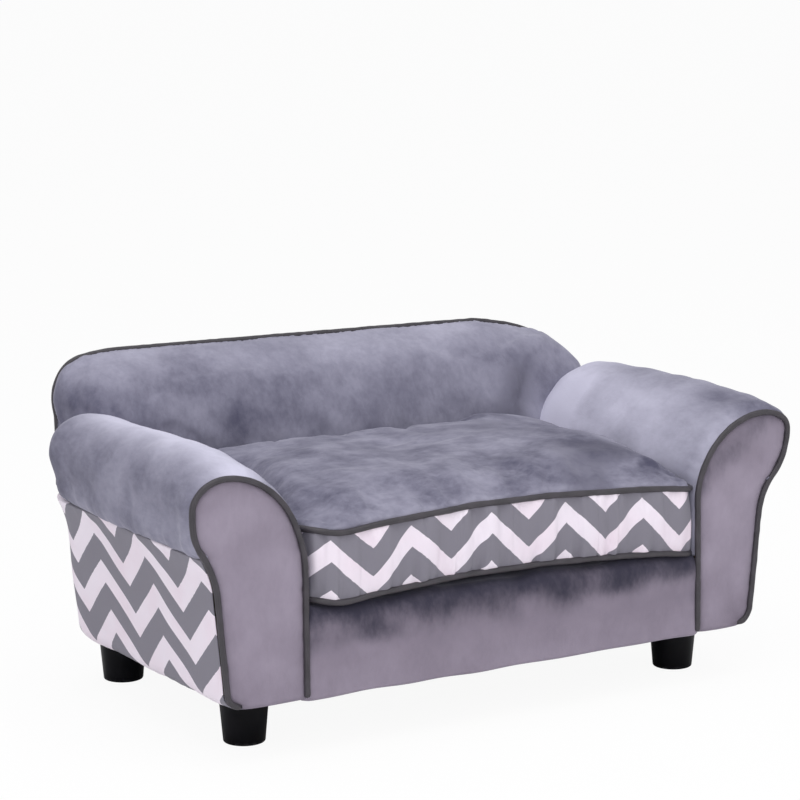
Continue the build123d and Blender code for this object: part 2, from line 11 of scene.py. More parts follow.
import bmesh
import bpy
import numpy as np
from mathutils import Matrix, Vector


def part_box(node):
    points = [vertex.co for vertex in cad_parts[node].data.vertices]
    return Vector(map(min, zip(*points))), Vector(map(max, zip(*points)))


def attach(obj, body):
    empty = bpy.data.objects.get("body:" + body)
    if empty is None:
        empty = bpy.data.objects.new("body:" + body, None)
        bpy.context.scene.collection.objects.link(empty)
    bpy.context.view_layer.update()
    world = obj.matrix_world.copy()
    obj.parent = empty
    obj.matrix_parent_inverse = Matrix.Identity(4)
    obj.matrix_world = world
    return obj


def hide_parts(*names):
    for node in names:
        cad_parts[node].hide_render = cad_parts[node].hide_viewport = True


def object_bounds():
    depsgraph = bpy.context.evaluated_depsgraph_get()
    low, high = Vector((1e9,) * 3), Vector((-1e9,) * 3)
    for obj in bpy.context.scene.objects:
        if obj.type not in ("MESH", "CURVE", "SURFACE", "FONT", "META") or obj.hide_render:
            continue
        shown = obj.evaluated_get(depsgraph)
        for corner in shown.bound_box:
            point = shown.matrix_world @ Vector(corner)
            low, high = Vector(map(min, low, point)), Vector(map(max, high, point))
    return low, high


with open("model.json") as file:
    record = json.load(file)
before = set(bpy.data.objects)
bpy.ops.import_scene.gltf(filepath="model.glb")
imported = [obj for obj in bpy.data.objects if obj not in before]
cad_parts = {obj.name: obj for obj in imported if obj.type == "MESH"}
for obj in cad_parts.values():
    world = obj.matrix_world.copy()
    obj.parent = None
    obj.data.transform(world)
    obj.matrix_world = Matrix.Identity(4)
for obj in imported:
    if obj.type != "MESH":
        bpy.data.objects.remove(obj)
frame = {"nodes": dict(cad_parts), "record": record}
nodes = frame["nodes"]
cad_low, cad_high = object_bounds()
mm = 0.001
print("frame:", len(nodes), "nodes, box", [round(v / mm) for v in (*cad_low, *cad_high)])

# %% [markdown]
# ## The camera comes first
# The picture was taken from the left and a little above, with a long lens, so parallel
# edges stay nearly parallel. The camera's place was solved from the feet, the rail and
# the arm fronts. It is built from its three axes, which avoids juggling Euler angles.

# %% Camera
camera_place = (-1.4653, -2.3861, 0.7811)
camera_turn, camera_dip, camera_roll = radians(31.403), radians(10.058), radians(-0.243)
focal_in_pixels, picture_width, sensor_width = 2841.1, 800.0, 36.0


def add_object(name, data):
    """New object that shows this data in the scene."""
    made = bpy.data.objects.new(name, data)
    bpy.context.scene.collection.objects.link(made)
    return made


def aim(thing, right, ahead, place):
    """Puts a camera or a light at a place: x to the right, z backwards and y upwards,
    which is the cross product of right and ahead."""
    matrix = np.eye(4)
    matrix[:3, :3] = np.stack([right, np.cross(right, ahead), -ahead], axis=1)
    matrix[:3, 3] = place
    thing.matrix_world = Matrix(matrix.tolist())


level = np.array([cos(camera_turn), -sin(camera_turn), 0.0])
ahead = np.array([sin(camera_turn), cos(camera_turn), -tan(camera_dip)]) * cos(camera_dip)
sideways = level * cos(camera_roll) + np.cross(level, ahead) * sin(camera_roll)
camera_data = bpy.data.cameras.new("camera")
camera_data.sensor_width = sensor_width
camera_data.lens = sensor_width * focal_in_pixels / picture_width
camera_data.clip_end = 100.0
bpy.context.scene.camera = add_object("camera", camera_data)
aim(bpy.context.scene.camera, sideways, ahead, camera_place)
print("camera: lens", round(camera_data.lens, 1), "mm")

# %% [markdown]
# ## Small tools for curves
# Every outline on this sofa is lines and arcs. An arc is a centre plus a radius turned
# through angles, and a curve is then resampled so that its points lie evenly, because
# evenly spaced points give even cloth. Three soft weights place every detail: a ramp
# between two lengths, a bell around one, and a fade away from a seam.

# %% Curves
def smooth(value, low=0.0, high=1.0):
    """Soft step from 0 at low to 1 at high: t squared times (3 minus 2 t)."""
    t = np.clip((np.asarray(value, float) - low) / (high - low), 0, 1)
    return t * t * (3 - 2 * t)


def ramp(length, low, high):
    """The same soft step for a length in metres, between two places given in mm."""
    return smooth(length, low * mm, high * mm)


def bell(length, centre, width):
    """e to minus the square of (length minus centre) over width, these two in mm."""
    return np.exp(-(((length - centre * mm) / (width * mm)) ** 2))


def fade(length, reach):
    """e to minus length over reach, which is in mm."""
    return np.exp(-length / (reach * mm))


def together(*parts):
    """Arrays spread to one shape and stacked as the coordinates of points."""
    return np.stack(np.broadcast_arrays(*parts), axis=-1)


def arc(centre, radius, start, stop, count=25):
    """Points at centre plus radius times (cosine, sine) of the angle, from start to
    stop in degrees. A pair of radii gives an ellipse."""
    turn = np.radians(np.linspace(start, stop, count))
    rx, ry = np.broadcast_to(radius, 2)
    return together(centre[0] + rx * np.cos(turn), centre[1] + ry * np.sin(turn))


def travelled(points):
    """Distance along a line of points from its first point to each of them."""
    steps = np.linalg.norm(np.diff(points, axis=0), axis=1)
    return np.concatenate([[0.0], np.cumsum(steps)])


def even(points, count):
    """The same line with count points at equal distances along it."""
    run = travelled(points)
    wanted = np.linspace(0, run[-1], count)
    return together(*(np.interp(wanted, run, column) for column in points.T))


def unit(vectors):
    """Vectors of an array made one long."""
    return vectors / np.linalg.norm(vectors, axis=-1, keepdims=True)


def outward(points):
    """Unit normals to the left of the direction of travel, in the plane of the line."""
    along = np.gradient(points, axis=0)
    return unit(together(-along[:, 1], along[:, 0]))


def distance_to(points, line):
    """Least distance from each point of an array to a line of points. The nearest point
    p of the line comes first, as the least of p squared minus 2 x dot p; then the foot of
    the perpendicular on the steps before and after it."""
    flat = points.reshape(-1, points.shape[-1])
    nearest = np.argmin((line**2).sum(axis=1)[None] - 2 * flat @ line.T, axis=1)
    least = np.full(len(flat), np.inf)
    for first in (nearest - 1, nearest):
        first = np.clip(first, 0, len(line) - 2)
        start, step = line[first], line[first + 1] - line[first]
        share = ((flat - start) * step).sum(axis=1) / np.maximum((step**2).sum(axis=1), 1e-18)
        foot = start + step * np.clip(share, 0, 1)[:, None]
        least = np.minimum(least, np.linalg.norm(flat - foot, axis=1))
    return least.reshape(points.shape[:-1])


# %% [markdown]
# ## Unevenness that never repeats
# Cloth over foam is never quite flat. A sum of cosine waves in random directions gives
# soft swells at one chosen size, and the seed keeps them the same on every run. Along a
# seam the thread gathers the cloth, so short waves stand square to the seam and fade
# with the distance from it.

# %% Swells and gathers
def swell(points, size, seed, waves=28):
    """Sum of cosines of (direction dot point) over size, which is in mm, with random
    directions and phases, scaled so that its typical height is 1."""
    random = np.random.default_rng(seed)
    ways = random.normal(size=(waves, points.shape[-1]))
    ways *= 2 * pi / (size * mm) * random.uniform(0.6, 1.4, (waves, 1)) / np.linalg.norm(
        ways, axis=1, keepdims=True
    )
    phases = random.uniform(0, 2 * pi, waves)
    return np.cos(points @ ways.T + phases).sum(axis=-1) / np.sqrt(waves / 2)


def gathers(run, away, spacing, reach, seed, waves=18):
    """Waves along a seam of about the given spacing, times e to minus the distance from
    the seam over reach. Both are in mm."""
    random = np.random.default_rng(seed)
    lengths = spacing * mm * random.uniform(0.55, 1.9, waves)
    phases = random.uniform(0, 2 * pi, waves)
    heights = np.cos(2 * pi * run[..., None] / lengths + phases).sum(axis=-1)
    return heights / np.sqrt(waves / 2) * fade(away, reach)


# %% [markdown]
# ## From a grid of points to a piece
# A cover is one sheet: rows and columns of points, four corners to a face. The texture
# coordinates are in metres of cloth, so a pattern printed at a known size keeps it. A
# Solidify modifier gives the sheet its thickness towards the foam.

# %% Grids to meshes
def grid_faces(rows, columns, ring):
    """Corner numbers of the quads between neighbouring rows and columns. A ring joins
    its last column to its first."""
    number = np.arange(rows * columns).reshape(rows, columns)
    right = np.roll(number, -1, axis=1)
    if not ring:
        number, right = number[:, :-1], right[:, :-1]
    return together(number[:-1], right[:-1], right[1:], number[1:]).reshape(-1, 4)


def store(target, name, values, kind=np.float32):
    """Writes one number of each element of a Blender collection, all at once."""
    target.foreach_set(name, np.ascontiguousarray(values, kind).ravel())


def load(mesh):
    """A mesh's points as an array."""
    flat = np.empty(3 * len(mesh.vertices), np.float32)
    mesh.vertices.foreach_get("co", flat)
    return flat.reshape(-1, 3).astype(float)


def make_mesh(name, points, faces, cloth, facts):
    """Mesh of points and quads. cloth gives each face corner its place on the cloth, and
    facts are named values, one for each point. Points in one place become one, which
    closes rings and poles."""
    mesh = bpy.data.meshes.new(name)
    mesh.vertices.add(len(points))
    store(mesh.vertices, "co", points)
    mesh.loops.add(faces.size)
    store(mesh.loops, "vertex_index", faces, np.int32)
    mesh.polygons.add(len(faces))
    store(mesh.polygons, "loop_start", np.arange(0, faces.size, 4), np.int32)
    mesh.update(calc_edges=True)
    store(mesh.polygons, "use_smooth", np.ones(len(faces)), bool)
    store(mesh.uv_layers.new(name="cloth").data, "uv", cloth)
    for fact, values in facts.items():
        store(mesh.attributes.new(fact, "FLOAT", "POINT").data, "value", values)
    mesh.validate()
    work = bmesh.new()
    work.from_mesh(mesh)
    bmesh.ops.remove_doubles(work, verts=work.verts, dist=1e-6)
    work.to_mesh(mesh)
    work.free()
    return add_object(name, mesh)


def make_sheet(name, grid, cloth, ring=False, flip=False, **facts):
    """Piece made of one grid of points (rows, columns, 3), with cloth (rows, columns, 2)
    in metres. A ring's cloth goes on past its last column instead of jumping back."""
    rows, columns = grid.shape[:2]
    corners = faces = grid_faces(rows, columns, ring)
    if ring:
        cloth = np.concatenate([cloth, 2 * cloth[:, -1:] - cloth[:, -2:-1]], axis=1)
        corners = grid_faces(rows, columns + 1, False)
    cloth = cloth.reshape(-1, 2)[corners]
    if flip:
        faces, cloth = faces[:, ::-1], cloth[:, ::-1]
    facts = {fact: np.broadcast_to(values, (rows, columns)) for fact, values in facts.items()}
    return make_mesh(name, grid.reshape(-1, 3), faces, cloth, facts)


settling_frames = 20


def settle(piece, held, reach, pressure=0.12, spare=0.05):
    """Blender's cloth solver lets a cover find its own folds over its filling. held is
    true where a seam holds the cloth, pressure pushes it out along its normals, and spare
    is the share by which it is cut larger than its place. No point moves beyond reach."""
    start = load(piece.data)
    group = piece.vertex_groups.new(name="seam")
    group.add(np.flatnonzero(np.ravel(held)[: len(start)]).tolist(), 1.0, "REPLACE")
    solver = piece.modifiers.new("settling", "CLOTH")
    for setting, value in {
        "vertex_group_mass": group.name, "quality": 6, "mass": 0.25, "bending_stiffness": 0.25,
        "shrink_min": -spare, "use_pressure": True, "uniform_pressure_force": pressure,
    }.items():
        setattr(solver.settings, setting, value)
    solver.settings.effector_weights.gravity = 0
    solver.collision_settings.use_collision = False
    for number in range(1, settling_frames + 1):
        bpy.context.scene.frame_set(number)
    moved = load(piece.evaluated_get(bpy.context.evaluated_depsgraph_get()).data) - start
    piece.modifiers.remove(solver)
    bpy.context.scene.frame_set(1)
    length = np.linalg.norm(moved, axis=1, keepdims=True)
    moved *= reach * np.tanh(length / reach) / np.maximum(length, 1e-9)
    store(piece.data.vertices, "co", start + moved)
    piece.data.update()
    print(piece.name, "settled by", round(float(length.max()) / mm, 1), "mm at most")


def fit(piece, body, material, replaced):
    """Puts a piece on its body with its finish, in place of the solids that it covers."""
    piece.data.materials.append(material)
    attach(piece, body)
    if replaced:
        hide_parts(*replaced)
    points = load(piece.data) / mm
    low, high = points.min(axis=0).round(), points.max(axis=0).round()
    print(piece.name, len(piece.data.polygons), "faces,", low, "to", high, "mm")


wall_of_slot = {"velvet": 1.2 * mm, "chevron_cloth": 1.0 * mm, "deck_lining": 0.5 * mm}


def cover(
    name, grid, cloth, slot, material, replaced, body="sofa", fill=None, settled=None, **sheet
):
    """Sheet of a slot's cloth on its body. settled says where a seam holds it and how far
    the rest may move. The wall grows on the side away from its normals. fill, the share of
    the space under a padded cover that is full, is not used."""
    piece = make_sheet(name, grid, cloth, **sheet)
    if settled:
        settle(piece, *settled)
    solid = piece.modifiers.new("thickness", "SOLIDIFY")
    solid.thickness, solid.offset = wall_of_slot[slot], -1
    fit(piece, body, material, replaced)
    return piece


# %% [markdown]
# ## Shader maths that reads like maths
# A shader is a graph of nodes, but its sums are easier to read as expressions. The class
# below holds one socket, and each operator adds one Math node and returns its output.
# The reflected forms make `1 - mask` work as well as `mask - 1`.

# %% A socket that can be added and multiplied
class Signal:
    """One output socket of a shader, with the usual arithmetic on it."""

    def __init__(self, tree, socket):
        self.tree, self.socket = tree, socket

    def node(self, kind, inputs=None, output=0, **settings):
        """Adds a node of a kind, sets its settings, then its sockets by name or number
        to values or to the outputs of other signals, and returns one output."""
        made = self.tree.nodes.new(kind)
        for key, value in settings.items():
            setattr(made, key, value)
        for key, value in (inputs or {}).items():
            feed(self.tree, made.inputs[key], value)
        return Signal(self.tree, made.outputs[output])

    def maths(self, operation, first, second=0.0):
        return self.node("ShaderNodeMath", {0: first, 1: second}, operation=operation)

    def __add__(self, other):
        return self.maths("ADD", self, other)

    def __radd__(self, other):
        return self.maths("ADD", other, self)

    def __sub__(self, other):
        return self.maths("SUBTRACT", self, other)

    def __rsub__(self, other):
        return self.maths("SUBTRACT", other, self)

    def __mul__(self, other):
        return self.maths("MULTIPLY", self, other)

    def __rmul__(self, other):
        return self.maths("MULTIPLY", other, self)

    def __truediv__(self, other):
        return self.maths("DIVIDE", self, other)

    def fraction(self):
        return self.maths("FRACT", self)

    def size(self):
        return self.maths("ABSOLUTE", self)

    def wave(self):
        return self.maths("SINE", self)

    def parts(self):
        """Its three coordinates as signals."""
        split = self.node("ShaderNodeSeparateXYZ", {0: self}).socket.node
        return [Signal(self.tree, socket) for socket in split.outputs]

    def between(self, low, high):
        """0 below low, 1 above high, and a soft step in between."""
        limits = {"Value": self, "From Min": low, "From Max": high}
        return self.node("ShaderNodeMapRange", limits, interpolation_type="SMOOTHSTEP")

    def blend(self, first, second):
        """Colour first where this signal is 0 and second where it is 1."""
        sockets = {0: self, 6: first, 7: second}
        return self.node("ShaderNodeMix", sockets, output=2, data_type="RGBA")


def feed(tree, socket, value):
    """Sets a socket to a signal, a colour or a plain value."""
    if isinstance(value, Signal):
        tree.links.new(value.socket, socket)
    elif socket.type == "RGBA":
        socket.default_value = (*value, 1.0)
    else:
        socket.default_value = value


def srgb(red, green, blue):
    """Linear colour of an 8-bit screen colour, as shaders want it."""
    share = np.array([red, green, blue]) / 255
    return tuple(np.where(share <= 0.04045, share / 12.92, ((share + 0.055) / 1.055) ** 2.4))


def empty_tree(owner):
    """The node tree of a material or a world, without its first nodes."""
    owner.use_nodes = True
    owner.node_tree.nodes.clear()
    return owner.node_tree


def new_material(name):
    """Empty material, a place signal in metres of the object, and the coordinates on
    the cloth."""
    material = bpy.data.materials.new(name)
    tree = empty_tree(material)
    shader = tree.nodes.new("ShaderNodeBsdfPrincipled")
    output = tree.nodes.new("ShaderNodeOutputMaterial")
    tree.links.new(shader.outputs[0], output.inputs[0])
    start = Signal(tree, shader.outputs[0])
    place = start.node("ShaderNodeTexCoord", output="Object")
    return material, place, start.node("ShaderNodeUVMap", uv_map="cloth")


def connect(material, **sockets):
    """Sets the sockets of a material's shader, named with underscores."""
    tree = material.node_tree
    for name, value in sockets.items():
        feed(tree, tree.nodes["Principled BSDF"].inputs[name.replace("_", " ")], value)
    return material


def noise(place, scale, detail=2.0, rough=0.5, warp=0.0):
    """Noise between 0 and 1 whose features are about one over scale metres wide."""
    sockets = {"Vector": place, "Scale": scale, "Detail": detail}
    sockets.update({"Roughness": rough, "Distortion": warp})
    return place.node("ShaderNodeTexNoise", sockets, noise_dimensions="3D")


def stretch(place, scale, turn=(0.0, 0.0, 0.0)):
    """The place turned, then scaled along each axis: a small number draws a pattern out."""
    return place.node("ShaderNodeMapping", {"Vector": place, "Rotation": turn, "Scale": scale})


def bump(height, distance, strength=1.0):
    """Normal tilted by a height signal whose full range is distance in mm."""
    sockets = {"Height": height, "Distance": distance * mm, "Strength": strength}
    return height.node("ShaderNodeBump", sockets)


def stripes(place, spacing):
    """Sine wave of a place, with one crest every spacing in mm."""
    return (place * (2 * pi / (spacing * mm))).wave()


# %% [markdown]
# ## Velvet
# The pile of this velvet is short and lies this way and that, so it is mottled: where a
# hand has brushed it, it turns light or dark. Two values that each piece carries set its
# tone as a whole. The first runs from dark to light; it is partly how the pile lies and
# partly painted light and shade, on crests, tops and along seams. The second, nearly black,
# marks pile pressed flat and also painted shade under the cushion and in crevices. Clouds
# of noise, and streaks combed in one direction, break both up. Sheen is light caught by the
# standing fibres on every curve.

# %% Velvet material
# Nearly black tone for pile pressed flat and for painted shade.
pressed_and_shaded_tone = srgb(52, 50, 65)
cool_tones = srgb(78, 77, 97), srgb(202, 200, 219)
# A warmer, flatter tone pair for the upright front pieces: partly the velvet's own look there,
# partly painted light and shade, how light falls on upright faces.
upright_tones_and_painted_light = srgb(118, 109, 123), srgb(172, 162, 179)


def velvet(name, tones, mottle, comb, slant):
    """Pile cloth between a dark and a light tone. comb stretches the streaks along the
    directions with small numbers, after turning them by slant."""
    material, place, cloth = new_material(name)
    combed = stretch(place, comb, slant)
    clouds = noise(place, 20.0, 3.0, 0.55, 0.1).between(0.34, 0.66)
    streaks = noise(combed, 75.0, 5.0, 0.62, 0.2).between(0.32, 0.68)
    strokes = noise(combed, 210.0, 3.0, 0.6).between(0.30, 0.70)
    pile = noise(place, 1300.0, 2.0, 0.6)
    nap, crush = (
        place.node("ShaderNodeAttribute", output="Fac", attribute_name=fact)
        for fact in ("nap", "crush")
    )
    # The tone takes random mottling plus the piece's dark-to-light value, which is partly painted
    # light and shade.
    shade = (clouds - 0.5) * (0.24 * mottle) + (streaks - 0.5) * (0.16 * mottle)
    shade = shade + (strokes - 0.5) * (0.09 * mottle) + (pile - 0.5) * 0.08 + nap
    # Pressed pile and painted shade, with streaky edges, pull the tone to the nearly black one.
    pressed_and_shaded = (crush + (streaks - 0.5) * 0.19 + (strokes - 0.5) * 0.09).between(0.06, 1.3)
    relief = pile * 0.4 + noise(place, 420.0, 2.0) * 0.4 + strokes * 0.2
    return connect(
        material,
        Base_Color=pressed_and_shaded.blend(shade.blend(*tones), pressed_and_shaded_tone),
        Roughness=streaks * 0.10 + 0.74,
        Sheen_Weight=0.30,
        Sheen_Roughness=0.40,
        Sheen_Tint=(0.88, 0.87, 1.0),
        Specular_IOR_Level=0.2,
        Normal=bump(relief, 0.4, 0.6),
    )


roll_velvet = velvet("roll_velvet", cool_tones, 0.5, (1.0, 0.6, 1.0), (0, 0, 0.4))
seat_velvet = velvet("seat_velvet", cool_tones, 0.75, (0.6, 1.0, 1.0), (0, 0, 0.5))
back_velvet = velvet("back_velvet", cool_tones, 0.5, (1.0, 1.0, 0.6), (0, 0.5, 0))
# The front pieces get their own copy of the velvet, whose tones are partly painted light.
front_velvet_with_painted_light = velvet("front_velvet_with_painted_light", upright_tones_and_painted_light, 0.5, (1.0, 1.0, 0.55), (0, -0.4, 0))
print("velvets made")

# %% [markdown]
# ## Chevron twill
# The print is a zigzag: height minus a triangle wave of the place along the cloth,
# folded into repeats, is white in one part of the repeat and grey in the rest. A soft
# step as wide as a thread at each edge of a stripe keeps the edge from being razor sharp.

# %% Chevron material
chevron_white, chevron_grey = srgb(243, 234, 245), srgb(131, 128, 139)
chevron_blush, chevron_thread = srgb(236, 214, 228), srgb(96, 94, 104)


def chevron(name, period, climb, repeat, white_share, start, lift, lean=0.0):
    """Zigzag print, with its lengths in mm. period is the width of one zigzag, climb its
    height, repeat the height of a white stripe and a grey one, start a peak's place along
    the cloth and lift the height of a white stripe's lower edge there. lean tilts the
    columns."""
    material, place, cloth = new_material(name)
    run, rise, _ = cloth.parts()
    wobble = (noise(place, 300.0, 2.0) - 0.5) * (0.9 * mm)
    column = (run - rise * lean - start * mm + wobble) / (period * mm) + 100.0
    from_peak = (column.fraction() - 0.5).size() * -2.0 + 1.0
    level = (rise + from_peak * (climb * mm) - lift * mm + wobble) / (repeat * mm) + 100.0
    step = level.fraction()
    soft = 0.35 / repeat
    white = step.between(0.0, soft) * (1.0 - step.between(white_share - soft, white_share))
    warp_lines = 2 * pi / (0.75 * mm)
    weave = (run * warp_lines + rise * warp_lines).wave() * 0.5 + stripes(rise, 0.6) * 0.3
    slub = noise(place, 700.0, 2.0)
    blush = noise(place, 16.0, 3.0).between(0.35, 0.75) * 0.45 * white
    tone = blush.blend(white.blend(chevron_grey, chevron_white), chevron_blush)
    return connect(
        material,
        Base_Color=(weave.between(-0.8, 0.8) * 0.05).blend(tone, chevron_thread),
        Roughness=slub * 0.1 + 0.76,
        Sheen_Weight=0.08,
        Specular_IOR_Level=0.3,
        Normal=bump(weave * 0.6 + slub * 0.5, 0.16, 0.6),
    )


# %% [markdown]
# ## Cord, plastic, boards and metal
# The cords are covered in a smooth dark cloth with a slight shine. The feet are satin
# black plastic. Inside are boards, which show only from underneath or with the cushion
# out, but they get their plies and grain all the same.

# %% Cord, plastic, metal, boards, linings and zip tape
def cord_cloth():
    """Dark cover of a piping cord, with the fine slanted ribs of cloth cut on the bias."""
    material, place, cloth = new_material("cord_cloth")
    run, around, _ = cloth.parts()
    weave = stripes(run + around, 0.9) * 0.5 + stripes(run - around, 0.9) * 0.5
    patch = noise(place, 60.0, 3.0)
    tone = patch.between(0.3, 0.7).blend(srgb(50, 47, 52), srgb(64, 60, 66))
    return connect(
        material,
        Base_Color=(weave.between(-1.0, 1.0) * 0.25).blend(tone, srgb(76, 72, 79)),
        Roughness=patch * 0.2 + 0.30,
        Specular_IOR_Level=0.45,
        Normal=bump(weave, 0.10, 0.5),
    )


def black_plastic():
    """Satin moulded plastic: faint moulding haze, fine grain and rubbed lower edge."""
    material, place, cloth = new_material("black_plastic")
    haze = noise(place, 45.0, 3.0)
    height = place.parts()[2]
    rubbed = (1.0 - height.between(0.5 * mm, 4 * mm)) * noise(place, 260.0).between(0.45, 0.6)
    tone = haze.between(0.3, 0.7).blend(srgb(5, 5, 9), srgb(11, 11, 16))
    return connect(
        material,
        Base_Color=(rubbed * 0.5).blend(tone, srgb(60, 60, 66)),
        Roughness=haze * 0.12 + rubbed * 0.2 + 0.30,
        Specular_IOR_Level=0.12,
        Normal=bump(noise(place, 1800.0, 2.0), 0.03, 0.4),
    )


def zinc_steel():
    """Zinc-plated steel with faint brushing and duller spots."""
    material, place, cloth = new_material("zinc_steel")
    spots = noise(place, 240.0, 3.0)
    return connect(
        material,
        Base_Color=spots.between(0.35, 0.7).blend(srgb(178, 180, 184), srgb(214, 215, 217)),
        Metallic=1.0,
        Roughness=spots * 0.2 + 0.22,
        Normal=bump(noise(stretch(place, (1, 1, 12)), 900.0), 0.02, 0.5),
    )


def wood_board(name, light, dark, plies):
    """Sheet of wood: stretched grain on its faces and, where plies is set, thin darker
    glue lines through its height, plies mm apart."""
    material, place, cloth = new_material(name)
    stretched = stretch(place, (1.0, 9.0, 9.0))
    grain = noise(stretched, 22.0, 5.0, 0.62, 1.2)
    fine = noise(stretched, 240.0, 2.0)
    tone = grain.between(0.3, 0.72).blend(light, dark)
    if plies:
        glue = (place.parts()[2] / (plies * mm)).fraction().between(0.86, 0.96)
        tone = (glue * 0.35).blend(tone, tuple(0.45 * c for c in dark))
    return connect(
        material,
        Base_Color=(fine.between(0.4, 0.8) * 0.2).blend(tone, tuple(0.6 * c for c in dark)),
        Roughness=fine * 0.2 + 0.62,
        Normal=bump(grain * 0.5 + fine * 0.5, 0.2, 0.5),
    )


def lining(name, light, dark):
    """Non-woven lining: pressed fibres with a grid of small bonded points."""
    material, place, cloth = new_material(name)
    fibres = noise(place, 900.0, 4.0, 0.7, 1.5)
    bonds = {"Vector": place, "Scale": 480.0, "Randomness": 0.2}
    dimple = place.node("ShaderNodeTexVoronoi", bonds).between(0.1, 0.45)
    return connect(
        material,
        Base_Color=(fibres.between(0.3, 0.7) * 0.6 + dimple * 0.4).blend(dark, light),
        Roughness=fibres * 0.1 + 0.85,
        Normal=bump(dimple * 0.6 + fibres * 0.4, 0.15, 0.7),
    )


def zip_tape():
    """Herringbone tape of a zip: fine ribs that change their slant at the middle."""
    material, place, cloth = new_material("zip_tape_weave")
    across, _, height = place.parts()
    ribs = stripes(across + (height / (3 * mm)).fraction().size() * 0.8 * mm, 0.9)
    return connect(
        material,
        Base_Color=ribs.between(-1.0, 1.0).blend(srgb(62, 60, 66), srgb(92, 90, 97)),
        Roughness=noise(place, 300.0) * 0.1 + 0.75,
        Normal=bump(ribs, 0.12, 0.6),
    )


finish_of_slot = {
    "piping_cord": cord_cloth(),
    "black_plastic": black_plastic(),
    "zinc_steel": zinc_steel(),
    "plywood": wood_board("plywood", srgb(214, 184, 140), srgb(170, 130, 88), 1.5),
    "fibreboard": wood_board("fibreboard", srgb(140, 108, 76), srgb(108, 80, 54), 0),
    "deck_lining": lining("deck_lining", srgb(66, 65, 70), srgb(36, 36, 40)),
    "zip_nylon": zip_tape(),
}
for part in frame["record"]["subparts"]:
    finish = finish_of_slot.get(part["material_slot"])
    if finish is not None:
        mesh = nodes[part["node"]].data
        mesh.materials.clear()
        mesh.materials.append(finish)
print("finished", len(finish_of_slot), "slots of the frame")

# %% [markdown]
# ## Sizes that the covers share
# The frame's boxes give the main sizes. The arm's outline is drawn again here from its
# own few sizes: a straight inner wall that flares into a quarter ellipse, a second
# quarter over the roll, a shoulder, a hollow under the roll and a leaning side.

# %% The arm's outline
half_width, front, rear = cad_high.x, cad_low.y, cad_high.y
seat_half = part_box("front_rail_cover")[1].x
roll_end, arm_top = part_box("right_arm_roll_cover")[1].yz
facing_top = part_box("right_facing_piping")[1].z
base_low, seam_height = (corner.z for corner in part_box("right_side_panel"))
deck_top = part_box("deck_cloth")[1].z
cord_radius = 0.5 * (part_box("right_facing_piping")[1].y - front)
arm_front = front + 2 * cord_radius
flare_drop, peak_reach, widest_drop = 103 * mm, 37 * mm, 40 * mm
shoulder_radius, shoulder_turn, hollow_radius = 60 * mm, 40.0, 70 * mm
side_lean, foot_radius = 5.5, 18 * mm
words = {1: "right", -1: "left"}
inner_bias = {1: 3.5 * mm, -1: -2.5 * mm}
outer_bias = {1: -4.3 * mm, -1: 10.5 * mm}
drawn_front = {1: 2.7 * mm, -1: 0.0}


def arm_outline(side, inset=0.0, crest=facing_top, fullness=1.0, at_front=False):
    """One arm seen from the front, drawn as a right arm, from its inner foot over the
    roll and down to the rounded outer foot: lines, two quarter ellipses and three arcs,
    all moved in. The crest is the front's own height unless the fuller roll behind it is
    asked for. Below the roll each arm is a few mm fuller or leaner than the frame: the
    bias of its two edges, shared out by the place between them. fullness scales it. The
    right arm's outer edge is drawn in a little more at its front, and its roll is squarer."""
    inner = seat_half + inset
    top, foot = crest - inset, base_low + inset
    peak, shoulder = half_width - peak_reach, half_width - shoulder_radius
    widest, flare = arm_top - widest_drop, arm_top - flare_drop
    lean, turn = radians(side_lean), radians(shoulder_turn)
    reach = shoulder_radius + hollow_radius
    hollow = (shoulder + reach * cos(turn), widest - reach * sin(turn))
    hollow_turn = hollow_radius + inset
    flank = (hollow[0] - hollow_turn * cos(lean), hollow[1] + hollow_turn * sin(lean))
    radius = foot_radius - inset
    corner_z = foot + radius
    corner_x = flank[0] - (flank[1] - corner_z) * tan(lean) - radius / cos(lean)
    line = np.concatenate([
        [(inner, foot)],
        arc((peak, flare), (peak - inner, top - flare), 180, 90, 60),
        arc((peak, widest), (half_width - inset - peak, top - widest), 90, 0, 40)[1:],
        arc((shoulder, widest), shoulder_radius - inset, 0, -shoulder_turn)[1:],
        arc(hollow, hollow_turn, 180 - shoulder_turn, 180 - side_lean)[1:],
        arc((corner_x, corner_z), radius, -side_lean, -90),
    ])
    x, z = line.T
    share = np.clip((x - inner) / (half_width - inner), 0, 1)
    below_roll = smooth(z, widest, widest - 60 * mm) + 0.3 * ramp(z, 85, 53)
    beside_roll = smooth(z, widest - 18 * mm, widest + 14 * mm)
    x += (1 - share) * inner_bias[side] * ramp(z, 215, 150)
    x += share * outer_bias[side] * below_roll * fullness
    if at_front:
        x -= share * drawn_front[side] * below_roll
        x -= 0.7 * drawn_front[side] * ramp(z, 80, 53) * (share > 0.3)
    if side > 0:
        x += share**3 * 1.5 * mm * beside_roll
        z += 8 * mm * share**5 * bell(z, 250, 26)
    return line


outline = arm_outline(1, crest=arm_top)
over_the_top = int(np.argmax(outline[:, 1]))
print("arm outline:", round(travelled(outline)[-1] / mm), "mm long")

# %% [markdown]
# ## Piping
# A piping cord is a string in a folded strip of cloth, sewn into a seam. Each one here
# lies in a plane, so at every point the plane's normal and the cord's own direction
# give the two axes of its round section, and no twisting can creep in.

# %% Cords
across_front, upright = np.array([0.0, -1.0, 0.0]), np.array([0.0, 0.0, 1.0])


